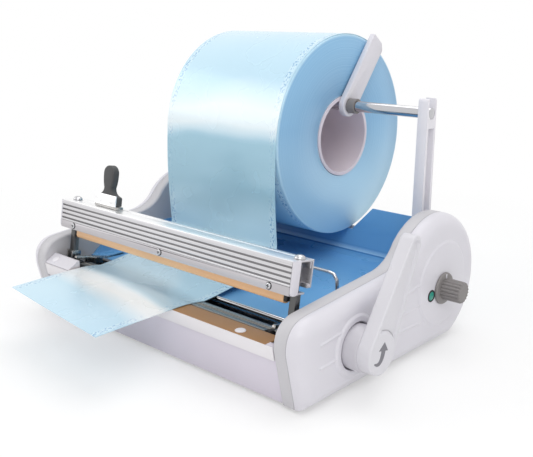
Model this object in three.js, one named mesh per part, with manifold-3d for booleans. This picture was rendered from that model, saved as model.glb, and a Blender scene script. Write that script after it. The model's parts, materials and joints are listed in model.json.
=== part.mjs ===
// Dental pouch sealer: side casings, blue tray, reel stand, lever-driven hot jaw and sliding cutter.
// Millimetres, +Z up, +X to the lever side, +Y to the back.
import * as THREE from 'three';
import * as BufferGeometryUtils from 'three/addons/utils/BufferGeometryUtils.js';
import Module from 'manifold-3d';

const wasm = await Module();
wasm.setup();

// Overall body
const bodyWidth = 415;
const bodyDepth = 305;
const reliefHeight = 1.5;
const seat = 0.3;
const overrun = 20;
const feetLift = 4;

// Side casings
const casingThickness = 29.5;
const casingWall = 3;
const casingRound = 14;
const casingCornerRound = 26;
const casingFrontTop = 87;
const casingTopRise = 14;
const casingFrontLean = 15;
const lobeRadius = 73;
const lobeCentreHeight = 71;
const splitWidth = 0.3;
const lobeBlendAngle = 25;
const lobeBlendRun = 17;
const ribWidth = 3.5;
const ribHeightShare = 0.7;
const ribInset = 28;
const frontRibRows = [[62, 3], [40, 1]];
const rearRibRows = [[66, 12], [52, 4], [38, -2]];
const lobeDiscShare = 0.62;
const hubDiscShare = 1.42;
const rearRibShare = 0.5;
const casingSteps = 10;
const bevelSteps = 3;

// Lever hub and its shaft
const hubBack = 81.5;
const hubHeight = 48;
const hubRadius = 21.5;
const hubClearance = 0.8;
const hubLength = 20;
const shaftRadius = 5;
const shaftClearance = 0.35;
const leverThickness = 15;
const leverBossRadius = 20;
const leverReach = 104;
const leverLeanAngle = 27.5;
const leverTipRadius = 8.5;
const leverDraft = 2.5;

// Timer knob and lamp
const knobBack = 232;
const knobHeight = 66;
const knobFlangeRadius = 17;
const knobFlangeThickness = 3;
const knobRadius = 11.5;
const knobLength = 24;
const knobFlutes = 18;
const knobFluteDepth = 0.9;
const lampBack = 209;
const lampHeight = 63;
const lampRadius = 5;
const lampBezelRadius = 6.5;
const lampDome = 1.6;
const potRadius = 9;
const potLength = 11;

// Front beam and deck
const beamWall = 3;
const beamTop = 63;
const beamFlange = 7;
const lipHeight = 14;
const lipThickness = 1.6;
const deckThickness = 2.5;
const deckDepth = 21.5;
const deckCapDepth = 11.5;
const deckEndRise = 9;
const plugRadius = 5;
const plugHeight = 0.8;
const plugInset = 38;
const panThickness = 2.5;
const panFlange = 12;
const footRadius = 9;
const footInset = 30;

// Sealing station, in its own leaning frame
const sealBack = 33.5;
const sealHeight = 62;
const leanAngle = 9.1;
const barTravel = 26;
const jawInset = 31.5;
const jawDepth = 18;
const jawHeight = 12;
const jawGroove = 2;
const heaterWidth = 5;
const heaterThickness = 0.5;
const jawClampLength = 5;
const barEndGap = 0.5;
const barForward = 16.5;
const barDepth = 30.4;
const boxDepth = 10.4;
const barHeight = 31.4;
const barRearHeight = 26;
const barSkin = 1.8;
const barFloor = 5.2;
const barLip = 9;
const barLipDrop = 8;
const barHook = 4.5;
const endCapRound = 4;
const barRibs = 4;
const barRibDepth = 0.8;
const endCapThickness = 2;
const stripWidth = 10;
const stripHeight = 11.1;
const stripBlockLength = 4;
const stripEndGap = 2.1;
const railHeight = 8.5;
const railThickness = 1.8;
const screwHeadRadius = 2.6;
const screwHeadHeight = 1;
const screwInset = 26;
const boltRadius = 5.5;
const boltHeight = 4.2;
const postInset = 8;
const postWidth = 10.6;
const postDepth = 12;
const postSkin = 1.5;
const postTop = 11;
const postBottom = 60;
const studRadius = 2.5;
const pinGap = 0.8;
const pinOverhang = 0.8;
const crankRound = 3;
const supportHeight = 41.5;
const supportSkin = 1.5;
const supportInset = 10;
const legSize = 6.8;
const legFoot = 34;
const pinRadius = 2.5;
const pinDrop = 1;
const crankThickness = 4;
const crankWidth = 15;
const crankForkReach = 9;
const crankSlotClearance = 1.4;

// Cutter
const cutterFromEnd = 47;
const cutterBaseWidth = 38;
const cutterNeckWidth = 14;
const cutterGripWidth = 20;
const cutterHeight = 47;
const cutterThickness = 9;
const cutterSkirt = 16;
const cutterPlateHeight = 12;
const cutterPlateThickness = 1.2;
const cutterShoeLength = 40;
const cutterShoeHeight = 3;
const cutterV = 1.5;
const bladeReach = 42.8;
const bladeSlot = 0.6;
const bladeWidth = 8;
const bladeThickness = 0.8;

// Tray and back
const traySkin = 2;
const trayFront = 65.5;
const traySlope = 34;
const trayShaftGap = 5;
const crankNotch = 1.5;
const trayStepBack = 282;
const trayStepRise = 6;
const trayRearBack = 290;
const trayRearHeight = 119;
const trayRim = 5;
const backWall = 3;
const backBack = 298;
const backPanelTop = 112;
const edgeRodRadius = 2.5;
const edgeRodBack = 61;
const edgeRodLift = 1.5;
const wireRadius = 2;
const wireBack = 117;
const wireHeight = 97;
const wireInset = 20.5;
const wireBend = 10;

// Reel stand, reel and stops
const rodBack = 264.5;
const rodHeight = 241;
const rodRadius = 6;
const uprightInset = 19.5;
const uprightWidth = 12;
const uprightDepth = 17;
const uprightFlare = 4;
const uprightSkin = 3;
const uprightHead = 16;
const rollRadius = 115;
const coreOuter = 46;
const coreWall = 4;
const coreLip = 1;
const rodLeftSpan = 28;
const rodRightSpan = 110;
const stopThickness = 7;
const stopWidth = 25;
const stopReach = 90;
const stopLeanAngle = 37;
const stopBushRadius = 8.5;
const stopBushLength = 10;
const stopNeckRadius = 7.6;

// Film web
const filmThickness = 0.8;
const filmReach = 90;
const filmDroop = 1.5;
const filmCutAngle = 6.6;
const filmMargin = 1;
const wireTurns = [16, 37, 58];
const reelClearance = 3;
const notchLeanAngle = 43;

// Inside
const transformerSize = [62, 54, 40];
const boardSize = [70, 1.6, 48];
const switchSize = [20, 10, 16];
const inletSize = [28, 20, 20];
const inletInset = 66.5;
const inletHeight = 32;
const inletWall = 2;
const inletLip = 1.5;
const transformerPlace = 60;

const deg = THREE.MathUtils.degToRad;
const halfWidth = bodyWidth / 2;
const front = -bodyDepth / 2;
const back = bodyDepth / 2;
const outerFace = halfWidth - reliefHeight;
const innerFace = halfWidth - reliefHeight - casingThickness;
const splitFace = innerFace + casingThickness / 2;
const placeY = (fromFront) => front + fromFront;
const trayFloorHeight = hubHeight + shaftRadius + trayShaftGap;
const edgeRodHeight = trayFloorHeight + edgeRodLift;
const jawLength = 2 * (innerFace - jawInset);
const supportLength = jawLength - 2 * supportInset;
const barLength = 2 * (innerFace - barEndGap);
const screwPitch = barLength / 2 - screwInset;
const postSpacing = 2 * (innerFace - postInset);
const wireHalf = innerFace - wireInset;
const uprightPlace = innerFace - uprightInset;
const rollRight = uprightPlace - rodRightSpan;
const rollWidth = 2 * uprightPlace - rodRightSpan - rodLeftSpan;
const inletPlace = innerFace - inletInset;
const stripLength = postSpacing - legSize - 2 * (stripBlockLength + stripEndGap);
const cutterPlace = cutterFromEnd - stripLength / 2;

// Materials
function finish(color, roughness, metalness = 0) {
  return new THREE.MeshStandardMaterial({ color, roughness, metalness });
}
const finishes = {
  casing: finish(0xe6e3ea, 0.35),
  innerCasing: finish(0xdcd9e2, 0.45),
  tray: finish(0x3f86c8, 0.35),
  aluminium: finish(0xc4c2c6, 0.35, 0.8),
  steel: finish(0xa9a7a5, 0.35, 0.9),
  chrome: finish(0xd8dade, 0.12, 1),
  rubber: finish(0x2b2b2d, 0.8),
  strip: finish(0xeab483, 0.55),
  deck: finish(0xb78a52, 0.5),
  tape: finish(0x8f8b84, 0.6),
  grip: finish(0x5c5c5e, 0.55),
  knob: finish(0x969290, 0.5),
  lamp: finish(0x2f8f7f, 0.2),
  film: finish(0xbfe0f2, 0.25),
  roll: finish(0x8fbede, 0.4),
  core: finish(0x9a8f98, 0.8),
  board: finish(0x2f6a45, 0.6),
  copper: finish(0x8c5a3a, 0.5, 0.4),
};

// Solids
function toSolid(geometry) {
  const bare = geometry.clone();
  bare.deleteAttribute('normal');
  bare.deleteAttribute('uv');
  const merged = BufferGeometryUtils.mergeVertices(bare, 1e-4);
  const vertProperties = new Float32Array(merged.attributes.position.array);
  const triVerts = new Uint32Array(merged.index.array);
  return new wasm.Manifold(new wasm.Mesh({ numProp: 3, vertProperties, triVerts }));
}

function toGeometry(solid) {
  const { vertProperties, triVerts, numProp } = solid.getMesh();
  const points = [];
  for (let i = 0; i < vertProperties.length; i += numProp) {
    points.push(vertProperties[i], vertProperties[i + 1], vertProperties[i + 2]);
  }
  const geometry = new THREE.BufferGeometry();
  geometry.setAttribute('position', new THREE.Float32BufferAttribute(points, 3));
  geometry.setIndex(Array.from(triVerts));
  geometry.computeVertexNormals();
  return geometry;
}

function cut(base, ...tools) {
  return tools.reduce((solid, tool) => solid.subtract(toSolid(tool)), toSolid(base));
}

function join(...pieces) {
  return pieces.map(toSolid).reduce((a, b) => a.add(b));
}

function mirrored(geometry) {
  const flipped = geometry.clone().toNonIndexed();
  const position = flipped.attributes.position;
  for (let i = 0; i < position.count; i += 1) position.setX(i, -position.getX(i));
  for (let i = 0; i < position.count; i += 3) {
    for (const get of ['X', 'Y', 'Z']) {
      const kept = position[`get${get}`](i + 1);
      position[`set${get}`](i + 1, position[`get${get}`](i + 2));
      position[`set${get}`](i + 2, kept);
    }
  }
  flipped.deleteAttribute('normal');
  flipped.deleteAttribute('uv');
  const merged = BufferGeometryUtils.mergeVertices(flipped, 1e-4);
  merged.computeVertexNormals();
  return merged;
}

// An outline in Y and Z drawn out along X
const alongX = new THREE.Matrix4().makeBasis(
  new THREE.Vector3(0, 1, 0), new THREE.Vector3(0, 0, 1), new THREE.Vector3(1, 0, 0),
);

function drawnAlongX(shape, from, to, steps = 12) {
  const geometry = new THREE.ExtrudeGeometry(shape, { depth: to - from, bevelEnabled: false, curveSegments: steps });
  return geometry.applyMatrix4(alongX).translate(from, 0, 0);
}

function outline(points) {
  return new THREE.Shape(points.map(([y, z]) => new THREE.Vector2(y, z)));
}

// A closed outline whose corners [y, z, radius] are rounded
function roundedOutline(corners) {
  const shape = new THREE.Shape();
  const at = (i) => new THREE.Vector2(...corners[(i + corners.length) % corners.length].slice(0, 2));
  corners.forEach(([, , radius], i) => {
    const here = at(i);
    const before = at(i - 1).sub(here);
    const after = at(i + 1).sub(here);
    const half = Math.acos(before.dot(after) / (before.length() * after.length())) / 2;
    const run = radius / Math.tan(half);
    const enter = here.clone().addScaledVector(before.normalize(), run);
    const leave = here.clone().addScaledVector(after.normalize(), run);
    if (i === 0) shape.moveTo(enter.x, enter.y);
    else shape.lineTo(enter.x, enter.y);
    if (radius > 0) shape.quadraticCurveTo(here.x, here.y, leave.x, leave.y);
  });
  shape.closePath();
  return shape;
}

function block(x0, x1, y0, y1, z0, z1) {
  return new THREE.BoxGeometry(x1 - x0, y1 - y0, z1 - z0).translate((x0 + x1) / 2, (y0 + y1) / 2, (z0 + z1) / 2);
}

function roundX(radius, from, to, y = 0, z = 0, sides = 24) {
  return new THREE.CylinderGeometry(radius, radius, to - from, sides)
    .rotateZ(-Math.PI / 2)
    .translate((from + to) / 2, y, z);
}

function roundZ(radius, from, to, x = 0, y = 0, sides = 20) {
  return new THREE.CylinderGeometry(radius, radius, to - from, sides)
    .rotateX(Math.PI / 2)
    .translate(x, y, (from + to) / 2);
}

function lathedAlongX(profile, sides = 32) {
  const points = profile.map(([radius, x]) => new THREE.Vector2(radius, x));
  return new THREE.LatheGeometry(points, sides).rotateZ(-Math.PI / 2);
}

const sealer = new THREE.Group();

function piece(name, shape, material, parent = sealer) {
  const geometry = shape.isBufferGeometry ? shape : toGeometry(shape);
  const mesh = new THREE.Mesh(geometry, material);
  mesh.name = name;
  parent.add(mesh);
  return mesh;
}

// Side casings: two hollow halves each, met at the crown
const lobeY = back - lobeRadius;
const hubY = placeY(hubBack);
const knobY = placeY(knobBack);
const lampY = placeY(lampBack);

const casingBottom = lobeCentreHeight - lobeRadius;

function casingOutline() {
  const shape = new THREE.Shape();
  const sunk = casingBottom;
  const frontFoot = front + casingFrontLean;
  const frontTopZ = casingFrontTop;
  const topEndY = lobeY - lobeRadius * Math.cos(deg(lobeBlendAngle));
  const topEndZ = frontTopZ + casingTopRise;
  const blendStartY = topEndY - casingCornerRound;
  const blendStartZ = frontTopZ + casingTopRise * (blendStartY - front) / (topEndY - front);
  shape.moveTo(frontFoot, sunk);
  shape.lineTo(front, frontTopZ - casingCornerRound);
  shape.quadraticCurveTo(front, frontTopZ, front + casingCornerRound, frontTopZ + topEndSlope(topEndY));
  shape.lineTo(blendStartY, blendStartZ);
  const landing = Math.PI - deg(lobeBlendAngle + lobeBlendRun);
  shape.quadraticCurveTo(
    topEndY, topEndZ,
    lobeY + lobeRadius * Math.cos(landing), lobeCentreHeight + lobeRadius * Math.sin(landing),
  );
  shape.absarc(lobeY, lobeCentreHeight, lobeRadius, landing, -Math.PI / 2, true);
  shape.lineTo(frontFoot, sunk);
  return shape;
}

function topEndSlope(topEndY) {
  return casingTopRise * casingCornerRound / (topEndY - front);
}

function bulged(shape, from, to, round, inset) {
  const geometry = new THREE.ExtrudeGeometry(shape, {
    depth: to - from - 2 * round,
    bevelEnabled: true,
    bevelThickness: round,
    bevelSize: round,
    bevelOffset: -round - inset,
    bevelSegments: bevelSteps,
    curveSegments: casingSteps,
  });
  return geometry.applyMatrix4(alongX).translate(from + round, 0, 0);
}

// Plan shape that rounds the casing's outer front corner
function planPrism(inset) {
  const shape = new THREE.Shape();
  const far = outerFace + reliefHeight + overrun;
  const side = outerFace - inset;
  const nose = front + inset;
  shape.moveTo(innerFace - overrun, front - overrun);
  shape.lineTo(innerFace - overrun, back + overrun);
  shape.lineTo(far, back + overrun);
  shape.lineTo(far, nose);
  shape.lineTo(side, front + casingCornerRound);
  shape.quadraticCurveTo(side, nose, outerFace - casingCornerRound, nose);
  shape.lineTo(outerFace - casingCornerRound, front - overrun);
  return new THREE.ExtrudeGeometry(shape, { depth: lobeRadius * 3, bevelEnabled: false, curveSegments: 8 })
    .translate(0, 0, feetLift);
}

function casingRelief() {
  const discFrom = outerFace - casingWall / 2;
  const discTo = outerFace + reliefHeight;
  const lobeDisc = roundX(lobeRadius * lobeDiscShare, discFrom, discTo, lobeY, lobeCentreHeight, 28);
  const hubDisc = roundX(hubRadius * hubDiscShare, discFrom, discTo, hubY, hubHeight, 28);
  const rearRibY = lobeY - lobeRadius * rearRibShare;
  const ribRows = [
    ...frontRibRows.map((row) => [front + ribInset, hubY - hubRadius, ...row]),
    ...rearRibRows.map((row) => [hubY + hubRadius, rearRibY, ...row]),
  ];
  const ribs = ribRows.map(([y0, y1, z0, rise]) => {
    const rib = roundedOutline([
      [y0, z0, ribWidth / 3], [y1, z0 + rise, ribWidth / 3],
      [y1, z0 + rise + ribWidth, ribWidth / 3], [y0, z0 + ribWidth, ribWidth / 3],
    ]);
    return drawnAlongX(rib, outerFace - casingWall / 2, outerFace + reliefHeight * ribHeightShare, 3);
  });
  return join(lobeDisc, hubDisc, ...ribs);
}

const casingFull = toSolid(bulged(casingOutline(), innerFace, outerFace, casingRound, 0))
  .intersect(toSolid(planPrism(0)));
const casingCavity = bulged(
  casingOutline(), innerFace + casingWall, outerFace - casingWall, casingRound - casingWall, casingWall,
);
const floorCut = block(
  innerFace - overrun, outerFace + overrun, front - overrun, back + overrun,
  casingBottom - overrun, feetLift + casingWall,
);
const hollowCut = toSolid(casingCavity).intersect(toSolid(planPrism(casingWall))).subtract(toSolid(floorCut));
const casingHollow = casingFull.subtract(hollowCut).add(casingRelief());
const outerHalf = block(splitFace + splitWidth / 2, outerFace + overrun, front - overrun, back + overrun, -overrun, overrun * 10);
const innerHalf = block(innerFace - overrun, splitFace - splitWidth / 2, front - overrun, back + overrun, -overrun, overrun * 10);
const outerShell = casingHollow.intersect(toSolid(outerHalf));
const innerShell = casingHollow.intersect(toSolid(innerHalf));

const hubOpening = roundX(hubRadius + hubClearance, splitFace, outerFace + overrun, hubY, hubHeight, 32);
const knobOpening = roundX(shaftRadius, splitFace, outerFace + overrun, knobY, knobHeight, 16);
const lampOpening = roundX(lampRadius + seat, splitFace, outerFace + overrun, lampY, lampHeight, 20);
const shaftOpening = roundX(shaftRadius + shaftClearance, innerFace - overrun, splitFace, hubY, hubHeight, 24);

piece('right_outer_casing', outerShell.subtract(toSolid(hubOpening)).subtract(toSolid(knobOpening))
  .subtract(toSolid(lampOpening)), finishes.casing);
const innerRight = innerShell.subtract(toSolid(shaftOpening));
piece('right_inner_casing', innerRight, finishes.innerCasing);
piece('left_outer_casing', mirrored(toGeometry(outerShell)), finishes.casing);
piece('left_inner_casing', mirrored(toGeometry(innerRight)), finishes.innerCasing);

// Front beam, lip, deck and base pan
const shellGap = innerFace - seat;
const foot = feetLift;

function frontAt(z) {
  const sunk = casingBottom;
  return front + casingFrontLean * Math.max(0, 1 - (z - sunk) / (casingFrontTop - casingCornerRound - sunk));
}

function frontBeam() {
  const inset = lipThickness + seat;
  const lipFoot = beamTop - lipHeight;
  return drawnAlongX(outline([
    [frontAt(foot) + inset, foot],
    [frontAt(lipFoot) + inset, lipFoot],
    [frontAt(beamTop) + inset, beamTop],
    [front + beamFlange + inset, beamTop],
    [front + beamFlange + inset, beamTop - beamWall],
    [front + beamWall + inset, beamTop - beamWall],
    [frontAt(lipFoot) + beamWall + inset, lipFoot],
    [frontAt(foot) + beamWall + inset, foot],
  ]), -shellGap, shellGap);
}

function beamLip() {
  const lipFoot = beamTop - lipHeight;
  return drawnAlongX(outline([
    [frontAt(lipFoot), lipFoot], [frontAt(beamTop), beamTop],
    [frontAt(beamTop) + lipThickness, beamTop], [frontAt(lipFoot) + lipThickness, lipFoot],
  ]), -shellGap, shellGap);
}

const deckTop = beamTop - beamWall - seat;
const deckHalf = jawLength / 2 + jawClampLength / 2;
const deckFront = frontAt(deckTop - deckThickness) + lipThickness + beamWall + 2 * seat;
const deckBack = front + deckDepth;
const panTop = foot + panThickness;
const panFront = frontAt(foot) + lipThickness + beamWall + 2 * seat;
const backFace = placeY(backBack);

function basePan() {
  const half = shellGap;
  const rear = backFace - backWall - seat;
  return join(
    block(-half, half, panFront, rear, foot, panTop),
    block(-half, panThickness - half, hubY, rear, foot, foot + panFlange),
    block(half - panThickness, half, hubY, rear, foot, foot + panFlange),
  );
}

piece('front_beam', frontBeam(), finishes.casing);
piece('front_lip', beamLip(), finishes.casing);
const plugY = (front + beamFlange + lipThickness + deckBack) / 2;
piece('deck_plate', join(
  block(-deckHalf, deckHalf, deckFront, deckBack, deckTop - deckThickness, deckTop),
  roundZ(plugRadius, deckTop - seat, deckTop + plugHeight, deckHalf - plugInset, plugY),
), finishes.deck);
const capTop = beamTop + deckEndRise;
piece('deck_end_cap', join(
  block(-shellGap, -deckHalf, front + lipThickness + seat, front + deckCapDepth, beamTop + seat, capTop),
  roundZ(plugRadius, capTop - seat, capTop + plugHeight, -(shellGap + deckHalf) / 2, front + (lipThickness + deckCapDepth) / 2),
), finishes.casing);
piece('base_pan', basePan(), finishes.casing);
for (const [side, sign] of [['left', -1], ['right', 1]]) {
  for (const [end, footY] of [['front', panFront + footInset], ['rear', backFace - footInset]]) {
    piece(`foot_${end}_${side}`, roundZ(footRadius, 0, foot - seat, sign * (innerFace - footInset), footY), finishes.rubber);
  }
}

// Ribbon of even thickness along a bent line of [y, z] points
function ribbon(points, thickness) {
  const line = points.map(([y, z]) => new THREE.Vector2(y, z));
  const side = (sign) => line.map((point, i) => {
    const before = line[Math.max(0, i - 1)];
    const after = line[Math.min(line.length - 1, i + 1)];
    const into = i > 0 ? point.clone().sub(before).normalize() : after.clone().sub(point).normalize();
    const out = i < line.length - 1 ? after.clone().sub(point).normalize() : into;
    const along = into.clone().add(out).normalize();
    const normal = new THREE.Vector2(-along.y, along.x);
    const reach = thickness / 2 / Math.max(0.5, along.dot(into));
    return point.clone().addScaledVector(normal, sign * reach);
  });
  return new THREE.Shape([...side(1), ...side(-1).reverse()]);
}

// Tray
const trayHalf = shellGap;
const trayFrontY = placeY(trayFront);
const trayStepY = placeY(trayStepBack);
const trayRearY = placeY(trayRearBack);
const trayWallTop = casingFrontTop - trayRim;
const rodY = placeY(rodBack);

const reelHeight = rodHeight + rodRadius + seat - coreOuter + coreWall;
const rollLeft = rollRight - rollWidth;
const roomLeft = rollLeft - reelClearance;
const roomRight = rollRight + reelClearance;
const roomRadius = rollRadius + reelClearance;

// Room for the reel, with a notch that opens upwards in the rear walls
function reelRoomSolid() {
  const wallDepth = Math.min(roomRadius, backFace - backWall - rodY);
  const notchFoot = reelHeight - Math.sqrt(roomRadius ** 2 - wallDepth ** 2);
  const head = Math.max(trayRearHeight, backPanelTop, notchFoot) + overrun;
  const spread = (head - notchFoot) * Math.tan(deg(notchLeanAngle));
  const notch = new THREE.ExtrudeGeometry(outline([
    [roomLeft, notchFoot], [roomRight, notchFoot], [roomRight + spread, head], [roomLeft - spread, head],
  ]), { depth: backFace + overrun - trayStepY, bevelEnabled: false });
  notch.rotateX(Math.PI / 2).translate(0, backFace + overrun, 0);
  return toSolid(roundX(roomRadius, roomLeft, roomRight, rodY, reelHeight, 72)).add(toSolid(notch));
}
const reelRoom = reelRoomSolid();
const jawHalf = jawLength / 2;

function tray() {
  const floor = drawnAlongX(ribbon([
    [trayFrontY, trayFloorHeight - trayRim],
    [trayFrontY, trayFloorHeight],
    [trayStepY - trayStepRise, trayFloorHeight],
    [trayStepY, trayFloorHeight + trayStepRise],
    [trayStepY + trayStepRise / 2, trayFloorHeight + trayStepRise],
    [trayRearY, trayRearHeight],
  ], traySkin), -trayHalf, trayHalf);
  const sideOutline = outline([
    [trayFrontY, trayFloorHeight], [trayFrontY + trayStepRise, trayFloorHeight + trayStepRise],
    [trayFrontY + traySlope, trayWallTop], [trayRearY - trayRim, trayWallTop], [trayRearY, trayRearHeight],
    [trayStepY + trayStepRise / 2, trayFloorHeight + trayStepRise], [trayStepY - trayStepRise, trayFloorHeight],
  ]);
  const walls = [-trayHalf, trayHalf - traySkin].map((x) => drawnAlongX(sideOutline, x, x + traySkin));
  const crankX = jawHalf + jawClampLength + crankThickness;
  const notches = [-1, 1].flatMap((sign) => [
    block(
      sign * uprightPlace - uprightWidth / 2 - seat, sign * uprightPlace + uprightWidth / 2 + seat,
      rodY - uprightDepth / 2 - uprightFlare - seat, rodY + uprightDepth / 2 + uprightFlare + seat,
      trayFloorHeight - overrun, trayWallTop + overrun,
    ),
    block(
      sign * crankX - crankThickness / 2 - crankNotch, sign * crankX + crankThickness / 2 + crankNotch,
      trayFrontY - overrun, hubY + crankWidth, trayFloorHeight - overrun, trayFloorHeight + overrun,
    ),
  ]);
  return notches.reduce((solid, notch) => solid.subtract(toSolid(notch)), join(floor, ...walls)).subtract(reelRoom);
}
piece('tray', tray(), finishes.tray);

const inletX = [-inletPlace - inletSize[0] / 2, -inletPlace + inletSize[0] / 2];
const inletZ = [inletHeight - inletSize[2] / 2, inletHeight + inletSize[2] / 2];
piece('back_panel', cut(
  block(-shellGap, shellGap, backFace - backWall, backFace, foot, backPanelTop),
  block(inletX[0] - seat, inletX[1] + seat, backFace - overrun, backFace + overrun, inletZ[0] - seat, inletZ[1] + seat),
).subtract(reelRoom), finishes.casing);
piece('mains_inlet', cut(
  block(...inletX, backFace - inletSize[1], backFace + inletLip, ...inletZ),
  block(
    inletX[0] + inletWall, inletX[1] - inletWall, backFace - inletSize[1] / 2, backFace + overrun,
    inletZ[0] + inletWall, inletZ[1] - inletWall,
  ),
), finishes.rubber);

// Sealing station: everything in it leans back with the guide posts
const station = new THREE.Group();
station.position.set(0, placeY(sealBack), sealHeight);
station.rotation.x = -deg(leanAngle);
sealer.add(station);
const pressBar = new THREE.Group();
pressBar.position.z = barTravel;
station.add(pressBar);

const stripFoot = filmThickness + 2 * seat;
const barFoot = stripFoot + stripHeight + seat;
const barTop = barFoot + barHeight;
const postHalf = postSpacing / 2;

function lowerJaw() {
  const half = jawDepth / 2;
  const body = drawnAlongX(outline([
    [-half, -jawHeight], [half, -jawHeight], [half, -jawHeight / 2 - jawGroove / 2],
    [half - jawGroove, -jawHeight / 2 - jawGroove / 2], [half - jawGroove, -jawHeight / 2 + jawGroove / 2],
    [half, -jawHeight / 2 + jawGroove / 2], [half, 0],
    [heaterWidth / 2 + jawGroove / 2, 0], [heaterWidth / 2 + jawGroove / 2, -heaterThickness - seat],
    [-heaterWidth / 2 - jawGroove / 2, -heaterThickness - seat], [-heaterWidth / 2 - jawGroove / 2, 0],
    [-half, 0], [-half, -jawHeight / 2 + jawGroove / 2],
    [jawGroove - half, -jawHeight / 2 + jawGroove / 2], [jawGroove - half, -jawHeight / 2 - jawGroove / 2],
    [-half, -jawHeight / 2 - jawGroove / 2],
  ]), -jawHalf, jawHalf);
  return body;
}
piece('lower_jaw', lowerJaw(), finishes.aluminium, station);
piece('heater_strip', block(-jawHalf, jawHalf, -heaterWidth / 2, heaterWidth / 2, -heaterThickness, 0), finishes.tape, station);

function jawSupport() {
  const half = jawDepth / 2 - jawGroove;
  const top = -jawHeight - seat;
  return drawnAlongX(outline([
    [-half, top], [-half, top - supportHeight], [supportSkin - half, top - supportHeight],
    [supportSkin - half, top - supportSkin], [half - supportSkin, top - supportSkin],
    [half - supportSkin, top - supportHeight], [half, top - supportHeight], [half, top],
  ]), -supportLength / 2, supportLength / 2);
}
piece('jaw_support', jawSupport(), finishes.steel, station);

function guidePost(side) {
  const half = postWidth / 2;
  const inner = half - postSkin;
  const depth = postDepth / 2;
  const shape = new THREE.Shape([
    [-half, -depth], [postSkin - half, -depth], [postSkin - half, depth - postSkin],
    [inner, depth - postSkin], [inner, -depth], [half, -depth], [half, depth], [-half, depth],
  ].map(([x, y]) => new THREE.Vector2(x, y)));
  const channel = new THREE.ExtrudeGeometry(shape, { depth: postTop + postBottom, bevelEnabled: false })
    .translate(0, 0, -postBottom);
  const slot = block(
    -side * half - overrun / 4, -side * half + overrun / 4, -pinRadius - pinGap, pinRadius + pinGap,
    -barTravel - pinDrop - pinRadius - pinGap, pinRadius + pinGap,
  );
  const ground = new THREE.BoxGeometry(overrun, postBottom, postBottom)
    .translate(0, 0, panTop + seat - sealHeight - postBottom / 2)
    .rotateX(deg(leanAngle));
  return cut(channel, slot, ground);
}

function leg(side) {
  const half = legSize / 2;
  const shank = block(-half, half, -half, half, -legFoot, barFoot - seat);
  const stud = roundZ(studRadius, barFoot - 2 * seat, barTop + boltHeight / 2, 0, 0, 14);
  const pinEnd = -side * (postHalf - crankPlace + crankThickness / 2 + pinOverhang);
  const pin = roundX(pinRadius, Math.min(0, pinEnd), Math.max(0, pinEnd), 0, -barTravel - pinDrop, 16);
  return join(shank, stud, pin);
}

const crankPlace = jawHalf + jawClampLength + crankThickness;
for (const [side, sign] of [['left', -1], ['right', 1]]) {
  const clampFrom = sign * (jawHalf + seat);
  const clampTo = sign * (jawHalf + jawClampLength);
  piece(`jaw_clamp_${side}`, block(
    Math.min(clampFrom, clampTo), Math.max(clampFrom, clampTo),
    -jawDepth / 2 + jawGroove, jawDepth / 2 - jawGroove, -jawHeight, -seat,
  ), finishes.rubber, station);
  piece(`guide_post_${side}`, guidePost(sign), finishes.steel, station).position.set(sign * postHalf, 0, 0);
  piece(`leg_${side}`, leg(sign), finishes.steel, pressBar).position.set(sign * postHalf, 0, 0);
  piece(`bar_nut_${side}`, cut(
    new THREE.SphereGeometry(boltRadius, 16, 10).scale(1, 1, boltHeight / boltRadius).translate(0, 0, barTop + seat),
    block(-overrun, overrun, -overrun, overrun, barTop - overrun, barTop + seat),
    roundZ(studRadius + seat, barTop - overrun, barTop + boltHeight / 2 + seat),
  ), finishes.chrome, pressBar).position.set(sign * postHalf, 0, 0);
  const blockFrom = sign * (stripLength / 2 + seat);
  const blockTo = sign * (stripLength / 2 + stripBlockLength);
  piece(`strip_block_${side}`, block(
    Math.min(blockFrom, blockTo), Math.max(blockFrom, blockTo),
    -stripWidth / 2, stripWidth / 2, stripFoot + stripHeight / 4, barFoot - seat,
  ), finishes.rubber, pressBar);
}

// Upper bar: a front box, a hooked channel behind it and a floor for the strip
function barOutline() {
  const f = -barForward;
  const b = barDepth - barForward;
  const box = boxDepth - barForward;
  const rearFoot = barTop - barRearHeight;
  const t = barSkin;
  return outline([
    [f, barFoot], [barFloor, barFoot], [barFloor, barFoot + t], [box, barFoot + t], [box, barTop - t],
    [barLip, barTop - t], [barLip, barTop - barLipDrop], [barLip + t, barTop - barLipDrop],
    [barLip + t, barTop - t], [b - t, barTop - t], [b - t, rearFoot + t], [b - barHook, rearFoot + t],
    [b - barHook, rearFoot + 2 * t], [b - barHook - t, rearFoot + 2 * t], [b - barHook - t, rearFoot],
    [b, rearFoot], [b, barTop], [f, barTop],
  ]);
}

const bladeY = cutterThickness / 2 + seat;

function upperBar() {
  const half = barLength / 2 - endCapThickness;
  const pitch = (barHeight - railHeight - 2 * barSkin) / barRibs;
  const grooves = Array.from({ length: barRibs }, (_, i) => {
    const z = barFoot + railHeight + barSkin + i * pitch;
    return block(-half - overrun, half + overrun, -barForward - overrun, -barForward + barRibDepth, z, z + pitch / 2.5);
  });
  const hollow = block(
    -half - overrun, half + overrun, barSkin - barForward, boxDepth - barForward - barSkin,
    barFoot + barSkin, barTop - barSkin,
  );
  const studs = [-postHalf, postHalf].map((x) => roundZ(studRadius + seat, barFoot - overrun, barTop + overrun, x, 0));
  const railSeat = block(
    -half - overrun, half + overrun, -barForward - overrun, -barForward + railThickness, barFoot - overrun, barFoot + railHeight,
  );
  const slot = block(
    -stripLength / 2, stripLength / 2, cutterV + bladeY - bladeSlot, cutterV + bladeY + bladeThickness + bladeSlot,
    barTop - barSkin - overrun / 4, barTop + overrun,
  );
  return cut(drawnAlongX(barOutline(), -half, half), ...grooves, railSeat, hollow, slot, ...studs);
}
piece('upper_bar', upperBar(), finishes.aluminium, pressBar);

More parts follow.
